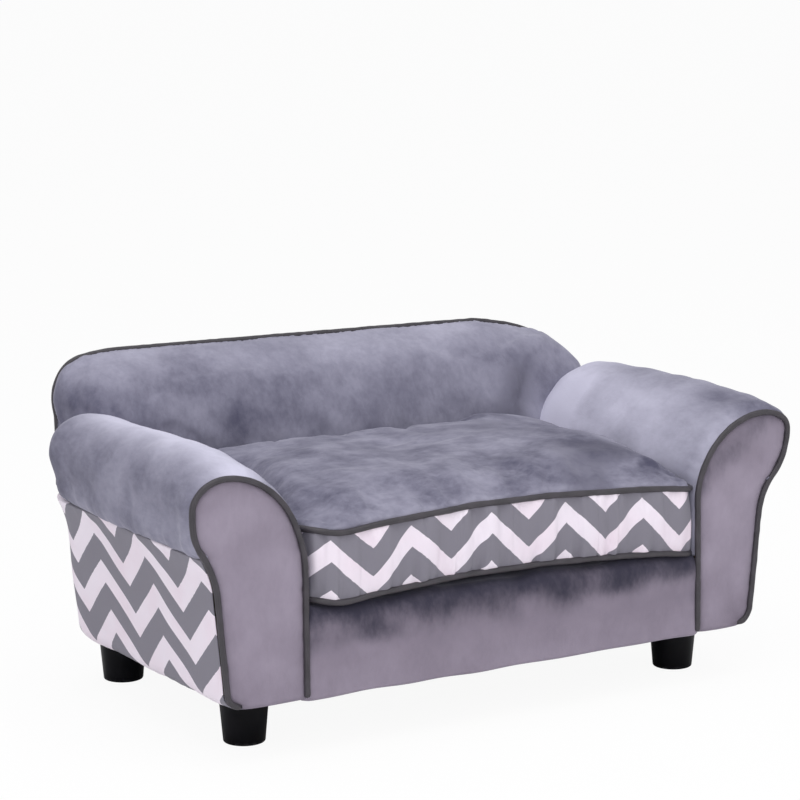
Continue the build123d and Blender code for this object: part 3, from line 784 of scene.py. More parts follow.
def cord(name, path, plane, body, node, ring=False, wobble=0.25, seed=1, around=14):
    """Tube: path plus radius times (cosine of the angle times the side axis plus sine
    times the plane's normal). The path's ends are closed by shrinking the last rings."""
    path = path + plane * (wobble * mm * swell(path, 60, seed))[:, None]
    if ring:
        tangent = np.roll(path, -1, axis=0) - np.roll(path, 1, axis=0)
    else:
        tangent = np.gradient(path, axis=0)
    side = unit(np.cross(plane, unit(tangent)))
    angle = np.linspace(0, 2 * pi, around, endpoint=False)
    thick = cord_radius * (1 + 0.03 * swell(path, 14, seed + 1))
    run = travelled(path)
    if not ring:
        to_end = np.minimum(np.minimum(run, run[-1] - run) / cord_radius, 1)
        thick *= np.sqrt(np.maximum(1 - (1 - to_end) ** 2, 0))
    spokes = side[:, None] * np.cos(angle)[:, None] + plane * np.sin(angle)[:, None]
    grid = path[:, None] + spokes * thick[:, None, None]
    cloth = together(run[:, None], angle * cord_radius)
    if ring:
        grid = np.concatenate([grid, grid[:1]])
        step = np.linalg.norm(path[0] - path[-1])
        cloth = np.concatenate([cloth, cloth[-1:] + [step, 0.0]])
    piece = make_sheet(name, grid, cloth, ring=True, flip=True)
    fit(piece, body, finish_of_slot["piping_cord"], [node])


# %% [markdown]
# ## Arm rolls
# The velvet starts at the seat, climbs the inner wall, goes over the roll and is sewn to
# the side cloth in the hollow below it. Carried along the arm, that profile closes at
# the rear in a dome: there each ring shrinks towards the seam's height as a power of the
# cosine of an angle while it moves back as the sine. Swells and gathers make it cloth.

# %% Roll covers
dome_reach = 46 * mm
roll_centre = np.array([half_width - 62 * mm, seam_height])


def roll_cover(side):
    """Velvet over one arm. side is 1 on the right and -1 on the left."""
    def roll_profile(crest, at_front=False):
        whole = arm_outline(side, crest=crest, at_front=at_front)
        lowest = np.where(np.arange(len(whole)) < over_the_top, deck_top, seam_height)
        start = [[seat_half + inner_bias[side], deck_top - 4 * mm]]
        return even(np.concatenate([start, whole[whole[:, 1] >= lowest]]), 150)

    # The profile, tucked in at its lower seam, with a small belly above the seam.
    profile = roll_profile(arm_top + 5 * mm)
    push = outward(profile)
    run = travelled(profile)
    to_seam = run[-1] - run
    belly, tuck = 1.6 * mm * bell(to_seam, 16, 12), 3.0 * mm * bell(to_seam, 0, 5)
    seam_form = push * (belly - tuck)[:, None]
    front_profile = roll_profile(facing_top + 1.5 * mm, at_front=True) + seam_form
    profile = profile + seam_form

    # Stations along the arm. The front profile turns into the fuller one behind it.
    rim, dome = arm_front - 1.3 * cord_radius, roll_end - dome_reach
    straight = rim + (dome - rim) * np.linspace(0, 1, 80) ** 1.5
    turn = np.linspace(0, pi / 2, 22)[1:]
    station = np.concatenate([straight, dome + dome_reach * np.sin(turn)])[:, None]
    shrink = np.concatenate([np.ones(80), np.maximum(np.cos(turn), 0) ** 0.75])[:, None]
    rise = 1 - (1 - np.clip((station - rim) / (95 * mm), 0, 1)) ** 2
    sag = smooth(station, roll_end - 150 * mm, roll_end) * 0.45
    full = (rise * (1 - sag))[..., None]
    pinch = fade(station - rim, 4.5) * (1.5 * mm + 1.1 * cord_radius)
    pinch = pinch - 1.3 * mm * bell(station - rim, 14, 10)
    ring = front_profile * (1 - full) + profile * full - push * pinch[..., None]
    ring = roll_centre + (ring - roll_centre) * shrink[..., None]
    grid = together(ring[..., 0], station, ring[..., 1])

    # Unevenness, none of it at the two seams. The left roll leans inwards below its
    # widest line towards the rear and stands higher there.
    from_front = station - arm_front
    seed = 20 + side
    relief = 0.7 * mm * swell(grid, 90, seed) + 0.30 * mm * swell(grid, 32, seed + 4)
    relief += 0.55 * mm * gathers(run, from_front, 17, 12, seed + 8)
    relief += 0.75 * mm * gathers(station, to_seam, 19, 15, seed + 12)
    relief *= ramp(from_front, 0, 6) * ramp(to_seam, 0, 4) * shrink
    grid += together(push[:, 0], 0, push[:, 1]) * relief[..., None]
    x, y, z = np.moveaxis(grid, -1, 0)
    if side < 0:
        to_rear = ramp(station, 10, 150)
        beside, high = ramp(x, 285, 325), ramp(z, 215, 240)
        middle = bell(z, 245, 28)
        x += to_rear * beside * (2.5 * mm * high - 5.0 * mm * (1 - high))
        z += to_rear * beside * middle * 9 * mm
        z += to_rear * 3 * mm * ramp(z, 245, 272)

    # Painted light and shade, partly the lie of the pile: on the right arm the inner wall is
    # lighter than the crest and lighter towards the rear, on the left arm the crest is lightest.
    # Painted shade darkens the velvet along its lower seam and low on the inner wall beside the
    # cushion.
    crest_run = run[int(np.argmax(profile[:, 1]))]
    off_crest = run - crest_run
    if side > 0:
        nap = 0.76 - 0.40 * ramp(off_crest, -60, -6) - 0.06 * ramp(off_crest, -80, -130)
        nap = nap - 0.20 * ramp(station, -70, -175) + 0.42 * ramp(station, 10, 90)
    else:
        nap = 0.26 + 0.76 * bell(off_crest, -14, 32)
        nap = nap - 0.18 * ramp(station, 30, 120) * ramp(off_crest, -60, 0)
    nap = nap + 0.04 * swell(grid, 70, seed + 16)
    # Painted shade low on the inner wall beside the cushion, and along the seam under the roll.
    painted_shade_low_wall = smooth(z, deck_top + 95 * mm, deck_top + 65 * mm) * (run < crest_run)
    crush = 0.30 * fade(to_seam, 5) + 0.45 * painted_shade_low_wall
    x *= side
    solids = [f"{words[side]}_arm_{part}" for part in ("roll_cover", "roll_foam", "inner_foam")]
    cover(
        f"{words[side]}_roll_velvet", grid, together(run, station), "velvet", roll_velvet,
        solids, fill=0.85, flip=side > 0, crush=crush, nap=nap,
    )


for side in (1, -1):
    roll_cover(side)

# %% [markdown]
# ## Arm facings
# The front of each arm is a thin padded panel inside its cord. Row by row the panel is
# stretched between the inner and the outer line of the outline, and it stands out by an
# amount that grows with the distance from its edge: one minus e to the minus distance.

# %% Facings and their cords
facing_swell = 3.2 * mm


def facing(side):
    """Padded panel on the front of one arm, and the cord around it."""
    word = words[side]
    edge = arm_outline(side, 1.6 * cord_radius, at_front=True)
    peak = int(np.argmax(edge[:, 1]))
    inner, outer = edge[: peak + 1], edge[peak:][::-1]
    inner[0, 1] = outer[0, 1] = base_low + 0.4 * mm
    level = np.sin(np.linspace(0, pi / 2, 120)) ** 0.9
    height = (edge[0, 1] + (edge[peak, 1] - edge[0, 1]) * level)[:, None]
    left, right = (np.interp(height, line[:, 1], line[:, 0]) for line in (inner, outer))
    share = 0.5 - 0.5 * np.cos(np.linspace(0, pi, 60))
    flat = together(left + (right - left) * share, height)
    away = distance_to(flat, even(edge, 400))
    seed = 60 + side
    soft = swell(flat, 60, seed)
    stand = facing_swell * (1 - fade(away, 9)) + 0.45 * mm * soft * ramp(away, 0, 12)
    stand += 0.25 * mm * gathers(height, away, 15, 7, seed + 3)
    grid = together(side * flat[..., 0], arm_front - 1.6 * mm - stand, height)
    # Painted shade: the velvet darkens within a few mm of the cord, where the panel dips to it.
    # It is lighter at mid height and, on the right arm, darker towards the bottom; the diagonal
    # dark band there is crushed pile.
    nap = 0.42 + 0.13 * bell(height, 165, 60) + 0.04 * soft - 0.35 * fade(away, 5)
    crush = 0.0
    if side > 0:
        slanted = height - 0.75 * (flat[..., 0] - seat_half)
        crush = 0.62 * bell(slanted, 202, 24)
        nap = nap - 0.10 * ramp(height, 130, 70)
    cover(
        f"{word}_facing_velvet", grid, flat, "velvet", front_velvet_with_painted_light,
        [f"{word}_facing_cover", f"{word}_facing_foam"],
        fill=0.7, flip=side < 0, crush=crush, nap=nap,
    )

    line = arm_outline(side, cord_radius, at_front=True)
    hidden = line[-1] + [-14 * mm, 1.5 * mm]
    line = even(np.concatenate([line, [hidden]]), 420)
    run = travelled(line)
    back = 8.0 * mm * ramp(run[-1] - run, 22, 9)
    path = together(
        side * line[:, 0], front + cord_radius + back, line[:, 1] - 2.0 * mm * ramp(run, 8, 0)
    )
    plane, node = across_front * side, f"{word}_facing_piping"
    cord(f"{word}_facing_cord", path, plane, "sofa", node, seed=70 + side)


for side in (1, -1):
    facing(side)

# %% [markdown]
# ## Side panels
# One strip of printed cloth runs back from the facing, round the big rear corner and
# ends at a seam on the back. In plan its path is a line, a quarter circle and a line;
# in height it follows the arm's outer side down to the rounded lower edge.

# %% Side panels
rear_radius, ledge_width, ledge_rows = 70 * mm, 66 * mm, 8
rear_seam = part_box("right_side_panel")[0].x
rear_fullness, hem_sag = {1: 1.0, -1: 0.62}, {1: 1.0 * mm, -1: 2.5 * mm}
side_print = chevron(
    "side_print", 116, 40, 47.5, 0.47, start=67 + 180 - 0.28 * 174, lift=174, lean=0.28
)


def side_panel(side):
    """Chevron cloth round one side. Its cloth coordinates are the distance back from the
    arm's front and the height."""
    def flank(fullness):
        line = arm_outline(side, fullness=fullness)[over_the_top:]
        line = line[line[:, 1] <= seam_height + 1 * mm]
        return even(np.concatenate([line, [[line[-1, 0] - 7 * mm, base_low]]]), 70)

    profile = flank(rear_fullness[side])
    fuller = flank(1.0)[:, 0] - profile[:, 0]
    fuller = np.concatenate([np.full(ledge_rows, fuller[0]), fuller])[:, None]
    down = np.concatenate([np.zeros(ledge_rows), travelled(profile)])[:, None]
    ledge = profile[0] - together(np.linspace(ledge_width, 3 * mm, ledge_rows), 0)
    profile = np.concatenate([ledge, profile])
    run_back = rear - rear_radius - arm_front
    quarter = 0.5 * pi * rear_radius
    run_in = profile[:, 0].max() - rear_radius - rear_seam
    path = np.linspace(0, run_back + quarter + run_in, 170)
    angle = np.clip((path - run_back) / rear_radius, 0, pi / 2)
    inward = np.maximum(path - run_back - quarter, 0)
    reach, height = profile[:, :1] - rear_radius, profile[:, 1:]
    drawn = drawn_front[side] * (0.85 + 0.4 * ramp(height, 80, 53))
    hem = hem_sag[side] * smooth(height, base_low + 30 * mm, base_low)
    x = reach + rear_radius * np.cos(angle) - inward * (reach - rear_seam) / run_in
    x += fuller * ramp(path, 260, 0) - drawn * ramp(path, 14, 0)
    y = arm_front + np.minimum(path, run_back) + rear_radius * np.sin(angle)
    grid = together(x, y, height - hem * ramp(path, 40, 160))
    push = outward(profile)
    push[:ledge_rows] = 0.0, -0.4
    out, up = push[:, :1], push[:, 1:]
    seed = 90 + side
    relief = 0.5 * mm * swell(grid, 80, seed)
    relief += 0.45 * mm * gathers(path, down, 22, 12, seed + 2)
    relief += 0.55 * mm * gathers(path, down[-1] - down, 20, 12, seed + 3)
    relief += 0.30 * mm * gathers(down, path, 18, 12, seed + 4)
    relief *= ramp(down, 0, 4) * ramp(path, 0, 4) * ramp(path[-1] - path, 0, 4)
    slack = 0.9 * mm * ramp(down, 0, 30) * ramp(down[-1] - down, 0, 30)
    relief += slack * ramp(path, 0, 20) - 1.0 * mm * fade(down, 3)
    grid += together(out * np.cos(angle), out * np.sin(angle), up) * relief[..., None]
    printed = height.copy()
    printed[:ledge_rows, 0] += profile[ledge_rows, 0] - ledge[:, 0]
    grid[..., 0] *= side
    word = words[side]
    cover(
        f"{word}_side_chevron", grid, together(path, printed), "chevron_cloth", side_print,
        [f"{word}_side_panel", f"{word}_arm_side_wadding"], fill=0.3, flip=side > 0,
    )


for side in (1, -1):
    side_panel(side)

# %% [markdown]
# ## Front rail
# A padded board between the arms. Its section is a flat front, a rounded upper edge and
# a flat top that runs back under the cushion. Near the arms the edge rounds off as well.

# %% Rail cover
rail_low, rail_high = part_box("front_rail_cover")
rail_radius = 14 * mm


def rail_cover():
    """Section carried across the seat. At each end the velvet falls away on a quarter
    circle, in height and in depth alike."""
    hem, low_y, top = rail_low.z - 2.2 * mm, rail_low.y, rail_high.z
    section = even(np.concatenate([
        [(low_y + 8 * mm, hem), (low_y + 2 * mm, hem), (low_y, hem + 2 * mm)],
        arc((low_y + rail_radius, top - rail_radius), rail_radius, 180, 90, 30),
        [(rail_high.y + 20 * mm, top)],
    ]), 90)
    depth = travelled(section)[:, None]
    push = outward(section)
    y, z = section[:, :1], section[:, 1:]
    share = np.sin(np.linspace(-pi / 2, pi / 2, 160))
    tuck = 6 * mm + np.where(share > 0, inner_bias[1], inner_bias[-1])
    across = seat_half * share + np.sign(share) * tuck * share**2
    into = np.minimum(across - across[0], across[-1] - across)
    drop = rail_radius**2 - np.maximum(rail_radius - into, 0) ** 2
    fall = rail_radius - np.sqrt(np.maximum(drop, 0))
    upper = smooth(z, top - 50 * mm, top - 6 * mm)
    grid = together(across, y + 0.35 * fall, z - fall * upper)
    flat = grid[..., [0, 2]]
    rough = 0.9 * mm * swell(grid * [1.0, 1.0, 0.5], 45, 132) * smooth(z, top - 60 * mm, top)
    bulge = 1.2 * mm * ramp(into, 0, 50) * ramp(depth, 10, 60)
    relief = 0.5 * mm * swell(grid, 80, 131) + rough + bulge
    relief *= ramp(into, 0, 6) * ramp(depth, 0, 8)
    grid += together(0, push[:, 0], push[:, 1])[:, None] * relief[..., None]
    # Painted shadow of the cushion, with crushed pile: the velvet darkens towards the rail's top
    # along a ragged line, and is a little lighter towards the bottom.
    uneven = 4 * mm * swell(flat * [0.5, 1.0], 40, 133)
    crush = 1.3 * ramp(flat[..., 1] + uneven, 64, 146) ** 1.4
    nap = 0.28 + 0.10 * ramp(flat[..., 1], 100, 60)
    cover(
        "rail_velvet", grid, together(across, depth), "velvet", front_velvet_with_painted_light,
        ["front_rail_cover", "front_rail_foam"], fill=0.6, crush=crush, nap=nap,
    )


rail_cover()

# %% [markdown]
# ## Back pad
# The back is a deep pillow sewn to a cord along its arched rear edge. From that edge the
# velvet swells forward as a quarter ellipse of the distance to the edge: depth times the
# square root of one minus (one minus distance over reach) squared. Distance counts twice
# or more sideways, because the pillow's ends round off more sharply than its crest.

# %% The back's outline
back_half = half_width - 34 * mm
back_edge_top = cad_high.z - cord_radius


def shoulder_line(half, crest_turn, corner_radius, inset, crest_radius=200 * mm):
    """One half of the back from its level crest: an arc that turns down by crest_turn
    degrees, and a tight corner arc to the upright end."""
    corner_x = half - corner_radius
    step = crest_radius - corner_radius
    crest_x = corner_x - step * sin(radians(crest_turn))
    crest_z = back_edge_top - crest_radius
    corner_z = crest_z + step * cos(radians(crest_turn))
    crest = arc((crest_x, crest_z), crest_radius - inset, 90, 90 - crest_turn, 40)
    corner = arc((corner_x, corner_z), corner_radius - inset, 90 - crest_turn, 0, 40)[1:]
    return np.concatenate([crest, corner])


def back_outline(inset, foot):
    """The back seen from the front: up at the left, a square shoulder, level over the
    middle and a lower sloping shoulder down to the right. Its left end is drawn in
    again where it meets the arm."""
    left = shoulder_line(back_half - 4 * mm, 12.0, 38 * mm, inset)[::-1] * [-1.0, 1.0]
    right = shoulder_line(back_half, 25.0, 45 * mm, inset)
    low = np.linspace(1, 0, 30)[:, None]
    left_end = left[0] + [0.0, foot - left[0, 1]] * low
    right_end = right[-1] + [0.0, foot - right[-1, 1]] * low[::-1]
    line = np.concatenate([left_end[:-1], left, right, right_end[1:]])
    x, z = line[:, :1], line[:, 1:]
    sunk = 1.5 * mm * ramp(x, 0, 150) + 6.0 * mm * ramp(x, 150, 235)
    line = line - outward(line) * sunk * ramp(z, 240, 262)
    line[:, 0] += 2.5 * mm * ramp(line[:, 1], 288, 264) * (line[:, 0] < 0)
    return line


# %% Back pad and its cord
pad_depth, pad_reach = 87 * mm, 125 * mm


def back_pad():
    """Columns run from the edge down to a low line behind the cushion; each point's depth
    comes from its distance to the edge. Over the right shoulder the stuffing also lifts
    the velvet above its seam: a bell of the depth, pushed out along the edge's normal."""
    edge = even(back_outline(0.5 * cord_radius, seam_height - 4 * mm), 300)
    foot = together(edge[:, 0] * (seat_half - 1 * mm) / back_half, deck_top + 2 * mm)
    flat = edge + (foot - edge) * (np.linspace(0, 1, 96) ** 1.9)[:, None, None]
    x, z = np.moveaxis(flat, -1, 0)
    full = even(back_outline(0.5 * cord_radius, deck_top), 1200)
    away, square = (distance_to(flat * wide, full * wide) for wide in ([2.0, 1.0], [3.2, 1.0]))
    away = away + (square - away) * ramp(x, 60, 240)
    t = np.clip(away / pad_reach, 0, 1)
    depth = pad_depth * np.sqrt(np.maximum(1 - (1 - t) ** 2, 0))
    edge_x = edge[:, 0]
    puff = 3.0 * mm + 1.5 * mm * ramp(edge_x, 110, 190)
    lip = 0.75 + 0.4 * ramp(edge_x, 190, 110)
    over_seam = bell(depth, 34, 24) * ramp(depth, 0, 16) + lip * bell(depth, 9, 9)
    lift = puff * over_seam * ramp(z, 215, 262)
    elbow = 13 * mm * bell(z, 271, 23) * ramp(x, 255, 298) * bell(depth, 48, 26)
    out, up = outward(edge).T
    grid = together(x + out * lift + elbow, rear - cord_radius - depth, z + up * lift)
    run = travelled(edge)
    down = np.linalg.norm(np.diff(grid, axis=0), axis=2).cumsum(axis=0)
    down = np.concatenate([np.zeros((1, len(edge))), down])
    relief = 1.2 * mm * swell(grid, 110, 151) + 0.5 * mm * swell(grid, 42, 152)
    relief += 0.6 * mm * gathers(run, down, 24, 14, 153)
    grid[..., 1] -= relief * ramp(down, 0, 10)
    x, z = grid[..., 0], grid[..., 2]
    # The diagonal dark band is crushed pile. The top of the back is lighter, partly painted light
    # where it rounds over; it is also a little lighter low down and darker to the left.
    crush = 0.62 * bell(x - 0.5 * (z - 250 * mm), 200, 26) * ramp(z, 305, 270)
    nap = 0.27 + 0.20 * ramp(z, 290, 324) + 0.06 * ramp(z, 262, 225)
    nap = nap + 0.04 * swell(grid, 90, 154) - 0.07 * ramp(x, 60, -60)
    held = (down < 3 * mm) | (z < 150 * mm)
    cover(
        "back_pad_velvet", grid, together(run, down), "velvet", back_velvet,
        ["back_inner_cover", "back_foam"], settled=(held, 2.5 * mm),
        fill=0.8, flip=True, crush=crush, nap=nap,
    )
    line = even(back_outline(0.0, seam_height + 0.5 * cord_radius), 560)
    path = together(line[:, 0], rear - cord_radius, line[:, 1])
    cord("back_cord", path, across_front, "sofa", "back_piping", wobble=0.4, seed=155)


back_pad()

# %% [markdown]
# ## Outer back
# Behind the board the printed cloth is pulled flat: a wide arched field above the arm
# seam, and a narrower one below it between the two corner seams.

# %% Outer back cloth
def outer_back():
    """Two flat fields. The upper one is stretched row by row between the back's two ends
    and hangs a little over the lower one, more so beside the arms."""
    edge = back_outline(cord_radius, seam_height)
    inner = back_half - cord_radius
    beside = np.linspace(rear_seam, inner, 25)[1:]
    middle = np.linspace(-rear_seam, rear_seam, 101)
    across = np.concatenate([-beside[::-1], middle, beside])
    top = int(np.argmax(edge[:, 1]))
    level = 0.5 - 0.5 * np.cos(np.linspace(0, pi, 60))
    overlap = seam_height - 3 * mm
    height = (overlap + (edge[top, 1] - overlap) * np.sin(0.5 * pi * level))[:, None]
    left, right = (
        np.interp(height, np.maximum.accumulate(half[:, 1]), half[:, 0])
        for half in (edge[: top + 1], edge[top:][::-1])
    )
    upper = together(left + (right - left) * (across + inner) / (2 * inner), height)
    lower = together(middle, np.linspace(base_low, seam_height, 42)[:, None])
    fields = ("upper", upper, ["back_outer_cover"], 604, 128), ("lower", lower, [], 420, 150)
    for word, flat, solids, width, tall in fields:
        x, z = flat[..., 0], flat[..., 1]
        away = np.minimum(z - base_low, distance_to(flat, even(edge, 500)))
        relief = 0.35 * mm * swell(flat, 70, 171) * ramp(away, 0, 20)
        over_arm = smooth(np.abs(x), rear_seam - 25 * mm, rear_seam - 5 * mm)
        over_arm = over_arm * smooth(z, seam_height + 25 * mm, seam_height)
        grid = together(x, rear - 0.3 * mm + relief + 0.7 * mm * over_arm, z)
        cloth = flat * [-1.0, 1.0] + [400 * mm, 0.0]
        name = f"outer_back_{word}"
        piece = cover(name, grid, cloth, "chevron_cloth", side_print, solids, flip=True)


outer_back()

# %% [markdown]
# ## The loose cushion
# Its outline in plan is four gently drawn-in sides and four round corners. Splitting it
# at the middle of each corner gives four lines, and a Coons patch fills them: the sum of
# the two straight blends between opposite lines, less the blend of the four corners. The
# same lines bound the panel above, the printed band and the panel below, so they meet.

# %% Cushion outline
cushion_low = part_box("cushion_foam")[0]
seam_low, seam_high = (
    0.5 * sum(corner.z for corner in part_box(f"cushion_{word}_piping"))
    for word in ("bottom", "top")
)
piping_low, piping_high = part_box("cushion_top_piping")
cushion_half = piping_high.x - cord_radius
cushion_front, cushion_rear = piping_low.y + cord_radius, piping_high.y - cord_radius
cushion_corner, tight_corner, draw_in, right_shift = 26 * mm, 12 * mm, 4 * mm, 6 * mm
columns_across, columns_deep = 120, 70


def cushion_lines():
    """Front, right, rear and left lines of the outline, each from the middle of one
    corner arc to the middle of the next. A side's draw-in is a half cosine. The front
    right corner is filled tighter than the others."""
    r, deep = cushion_corner, cushion_rear - cushion_front
    half = np.radians(np.linspace(0, 45, 14))

    def side(length, first, last, count):
        low, high = first - length / 2, length / 2 - last
        middle = np.linspace(low, high, 60)
        bow = draw_in * 0.5 * (1 + np.cos(pi * middle / np.where(middle < 0, -low, high)))
        start = together(low - first * np.sin(half), first - first * np.cos(half))[::-1]
        stop = together(high + last * np.sin(half), last - last * np.cos(half))
        return even(np.concatenate([start[:-1], together(middle, bow), stop[1:]]), count).T

    middle_y = 0.5 * (cushion_front + cushion_rear)
    wide, bow = side(2 * cushion_half, r, tight_corner, columns_across)
    front_line = together(wide, cushion_front + bow)
    tall, bow = side(deep, tight_corner, r, columns_deep)
    right_line = together(cushion_half - bow, middle_y + tall)
    wide, bow = side(2 * cushion_half, r, r, columns_across)
    rear_bow = np.minimum(bow, r) * (np.abs(wide) > cushion_half - r)
    rear_line = together(wide, cushion_rear - rear_bow)
    tall, bow = side(deep, r, r, columns_deep)
    left_line = together(bow - cushion_half, middle_y + tall)
    lines = front_line, right_line, rear_line, left_line
    for line in lines:
        line[:, 0] += right_shift * (1 + line[:, 0] / cushion_half) / 2
    return lines


def coons(bottom, right, top, left):
    """Patch between four lines: bottom and top run left to right, left and right run
    from bottom to top."""
    u = np.linspace(0, 1, len(bottom))[None, :, None]
    v = np.linspace(0, 1, len(left))[:, None, None]
    sides = (1 - v) * bottom[None] + v * top[None] + (1 - u) * left[:, None] + u * right[:, None]
    corners = (1 - u) * (1 - v) * bottom[0] + u * (1 - v) * bottom[-1]
    return sides - corners - (1 - u) * v * top[0] - u * v * top[-1]


front_line, right_line, rear_line, left_line = cushion_lines()
plan = coons(front_line, right_line, rear_line, left_line)
seam_ring = np.concatenate([left_line[:0:-1], front_line[:-1], right_line[:-1], rear_line[:0:-1]])
closed_ring = np.concatenate([seam_ring, seam_ring[:1]])
from_seam = distance_to(plan, closed_ring)
print("cushion: patch of", plan.shape[:2], "points, seam", len(seam_ring), "points")

# %% [markdown]
# ## Filling the cushion
# The upper panel's height is the crown times one curve across and one curve deep, each
# rising steeply at its edge and flat in the middle. The seam itself isn't level: along
# the front it arches up in the middle, where the foam pushes, and drops at the corners.

# %% Cushion covers
crown = 31.5 * mm
seam_arch, seam_drop, corner_lift = 3.2 * mm, 11.5 * mm, 8 * mm


def seam_rise(x, y):
    """How much higher than level the seams run: an arch across the front, with a lift at
    the left corner, that fades to nothing at the rear, where the zip keeps them straight."""
    near = smooth(y, cushion_rear - 30 * mm, cushion_front + 10 * mm)
    lift = corner_lift * bell(x + cushion_half, 0, 24)
    return near * (seam_arch - seam_drop * (x / cushion_half) ** 2 + lift)


def edge_curve(distance, reach):
    """Quarter of a rounded hump: 0 at the edge and 1 beyond reach, in mm."""
    t = np.clip(distance / (reach * mm), 0, 1)
    return (1 - (1 - t) ** 2.4) ** (1 / 1.5)


def top_panel():
    """Crowned velvet panel of the cushion."""
    x, y = np.moveaxis(plan, -1, 0)
    to_right = np.interp(y, right_line[:, 1], right_line[:, 0]) - x
    to_left = x - np.interp(y, left_line[:, 1], left_line[:, 0])
    to_side = np.minimum(to_right * 0.5, to_left)
    to_front = y - np.interp(x, front_line[:, 0], front_line[:, 1])
    to_rear = np.interp(x, rear_line[:, 0], rear_line[:, 1]) - y
    hump = edge_curve(to_side, 48) * edge_curve(to_front, 125) * edge_curve(to_rear, 28)
    relief = 1.5 * mm * swell(plan, 120, 201) + 0.6 * mm * swell(plan, 45, 202)
    relief = relief * ramp(from_seam, 0, 25)
    along = np.where(to_front < to_side, x, y)
    relief += 0.7 * mm * gathers(along, from_seam, 21, 11, 203) * ramp(from_seam, 0, 4)
    height = seam_high + seam_rise(x, y) * (1 - hump) + crown * hump + relief
    height += 0.8 * cord_radius * (1 - fade(from_seam, 2))
    # The dark patches on the right are crushed pile. The tone is darker towards the right, and a
    # painted highlight lightens the rim within a few mm of the seam, where the edge rounds over.
    patches = swell(plan * [0.8, 1.2], 100, 204)
    crush = 0.50 * ramp(x, -40, 150) * smooth(patches, -0.6, 1.2)
    nap = 0.22 + 0.03 * swell(plan, 120, 205) - 0.10 * ramp(x, 50, 150)
    nap = nap + 0.25 * fade(from_seam, 4)
    cover(
        "cushion_top_velvet", together(x, y, height), plan, "velvet", seat_velvet,
        ["cushion_top_panel", "cushion_foam"], body="cushion",
        settled=(from_seam < 2.5 * mm, 4.0 * mm), fill=0.8, crush=crush, nap=nap,
    )


def band():
    """Printed band between the seams. It stands out as a sine of the height, and is
    gathered along both seams, where the thread pinches it into short sharp creases."""
    closed = even(closed_ring, 1081)
    ring, run = closed[:-1], travelled(closed)[:-1]
    share = np.linspace(0, 1, 30)[:, None]
    tall = seam_high - seam_low
    from_low, from_high = share * tall, tall - share * tall
    height = seam_low + seam_rise(*ring.T) + from_low
    along = np.roll(ring, -1, axis=0) - np.roll(ring, 1, axis=0)
    normal = unit(together(along[:, 1], -along[:, 0]))
    not_zip = ramp(cushion_rear - ring[:, 1], 1, 20)
    beside_arm = 1 - 0.75 * smooth(np.abs(normal[:, 0]), 0.6, 0.95)
    bulge = 4.5 * mm * np.sin(pi * share) ** 0.7 * (0.25 + 0.75 * not_zip) * beside_arm
    relief = 1.9 * mm * gathers(run, from_low, 20, 18, 221)
    relief += 1.7 * mm * gathers(run, from_high, 19, 16, 222)
    relief += 1.6 * mm * gathers(run, 0.0, 38, 1, 223)
    for away, spacing, reach, seed in ((from_low, 46, 20, 224), (from_high, 43, 18, 225)):
        pinches = gathers(run, 0.0, spacing, 1, seed, 6) / 0.30
        relief -= 3.0 * mm * np.exp(-(pinches**2)) * fade(away, reach)
    relief = 3.5 * mm * np.tanh(relief / (3.5 * mm)) * beside_arm
    relief *= ramp(from_low, 0, 5) * ramp(from_high, 0, 5) * not_zip
    out = bulge + relief - 0.6 * mm
    zip_low, zip_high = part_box("zip_tape")
    by_zip = ramp(zip_high.x + 3 * mm - np.abs(ring[:, 0]), 0, 3) * (ring[:, 1] > 0)
    off_tape = np.maximum(zip_low.z - height, height - zip_high.z)
    by_zip = by_zip * ramp(off_tape, 3.5, 0.5)
    out += (zip_low.y - 0.4 * mm - ring[:, 1] - out) * by_zip
    grid = together(ring[:, 0] + normal[:, 0] * out, ring[:, 1] + normal[:, 1] * out, height)
    cover(
        "cushion_band_chevron", grid, together(run, from_low), "chevron_cloth", band_print,
        ["cushion_boxing"], body="cushion", fill=0.7, ring=True,
    )


def bottom_panel():
    """Panel below: tucked in from the lower seam and flat where it lies on the deck."""
    x, y = np.moveaxis(plan, -1, 0)
    seam, flat = seam_low + seam_rise(x, y), cushion_low.z + 0.4 * mm
    fall = ramp(from_seam, 0, 26)
    relief = 0.6 * mm * gathers(x, from_seam, 18, 12, 241) * ramp(from_seam, 0, 4)
    relief -= 0.8 * cord_radius * (1 - fade(from_seam, 2))
    grid = together(x, y, seam + (flat - seam) * fall + relief * (1 - fall))
    nap = 0.32 + 0.1 * swell(plan, 90, 242)
    cover(
        "cushion_base_velvet", grid, plan, "velvet", seat_velvet, ["cushion_bottom_panel"],
        body="cushion", fill=0.6, flip=True, nap=nap, crush=0.0,
    )


band_peak = travelled(seam_ring)[np.argmin(np.hypot(*(seam_ring - [-19 * mm, cushion_front]).T))]
band_print = chevron("band_print", 88.2, 39.5, 47, 0.436, start=band_peak / mm, lift=38.2)
top_panel()
band()
bottom_panel()
for word, level in (("top", seam_high), ("bottom", seam_low)):
    name, node = f"cushion_{word}_cord", f"cushion_{word}_piping"
    path = together(*seam_ring.T, level + seam_rise(*seam_ring.T))
    cord(name, path, upright, "cushion", node, ring=True, wobble=0.3, seed=251)

# %% [markdown]
# ## Zip teeth
# The zip runs along the cushion's rear. Its tape, slider and pull come from the frame,
# and the coil between the tapes is remade here as what it is: a row of small nylon loops,
# each a short bent bar across the gap.

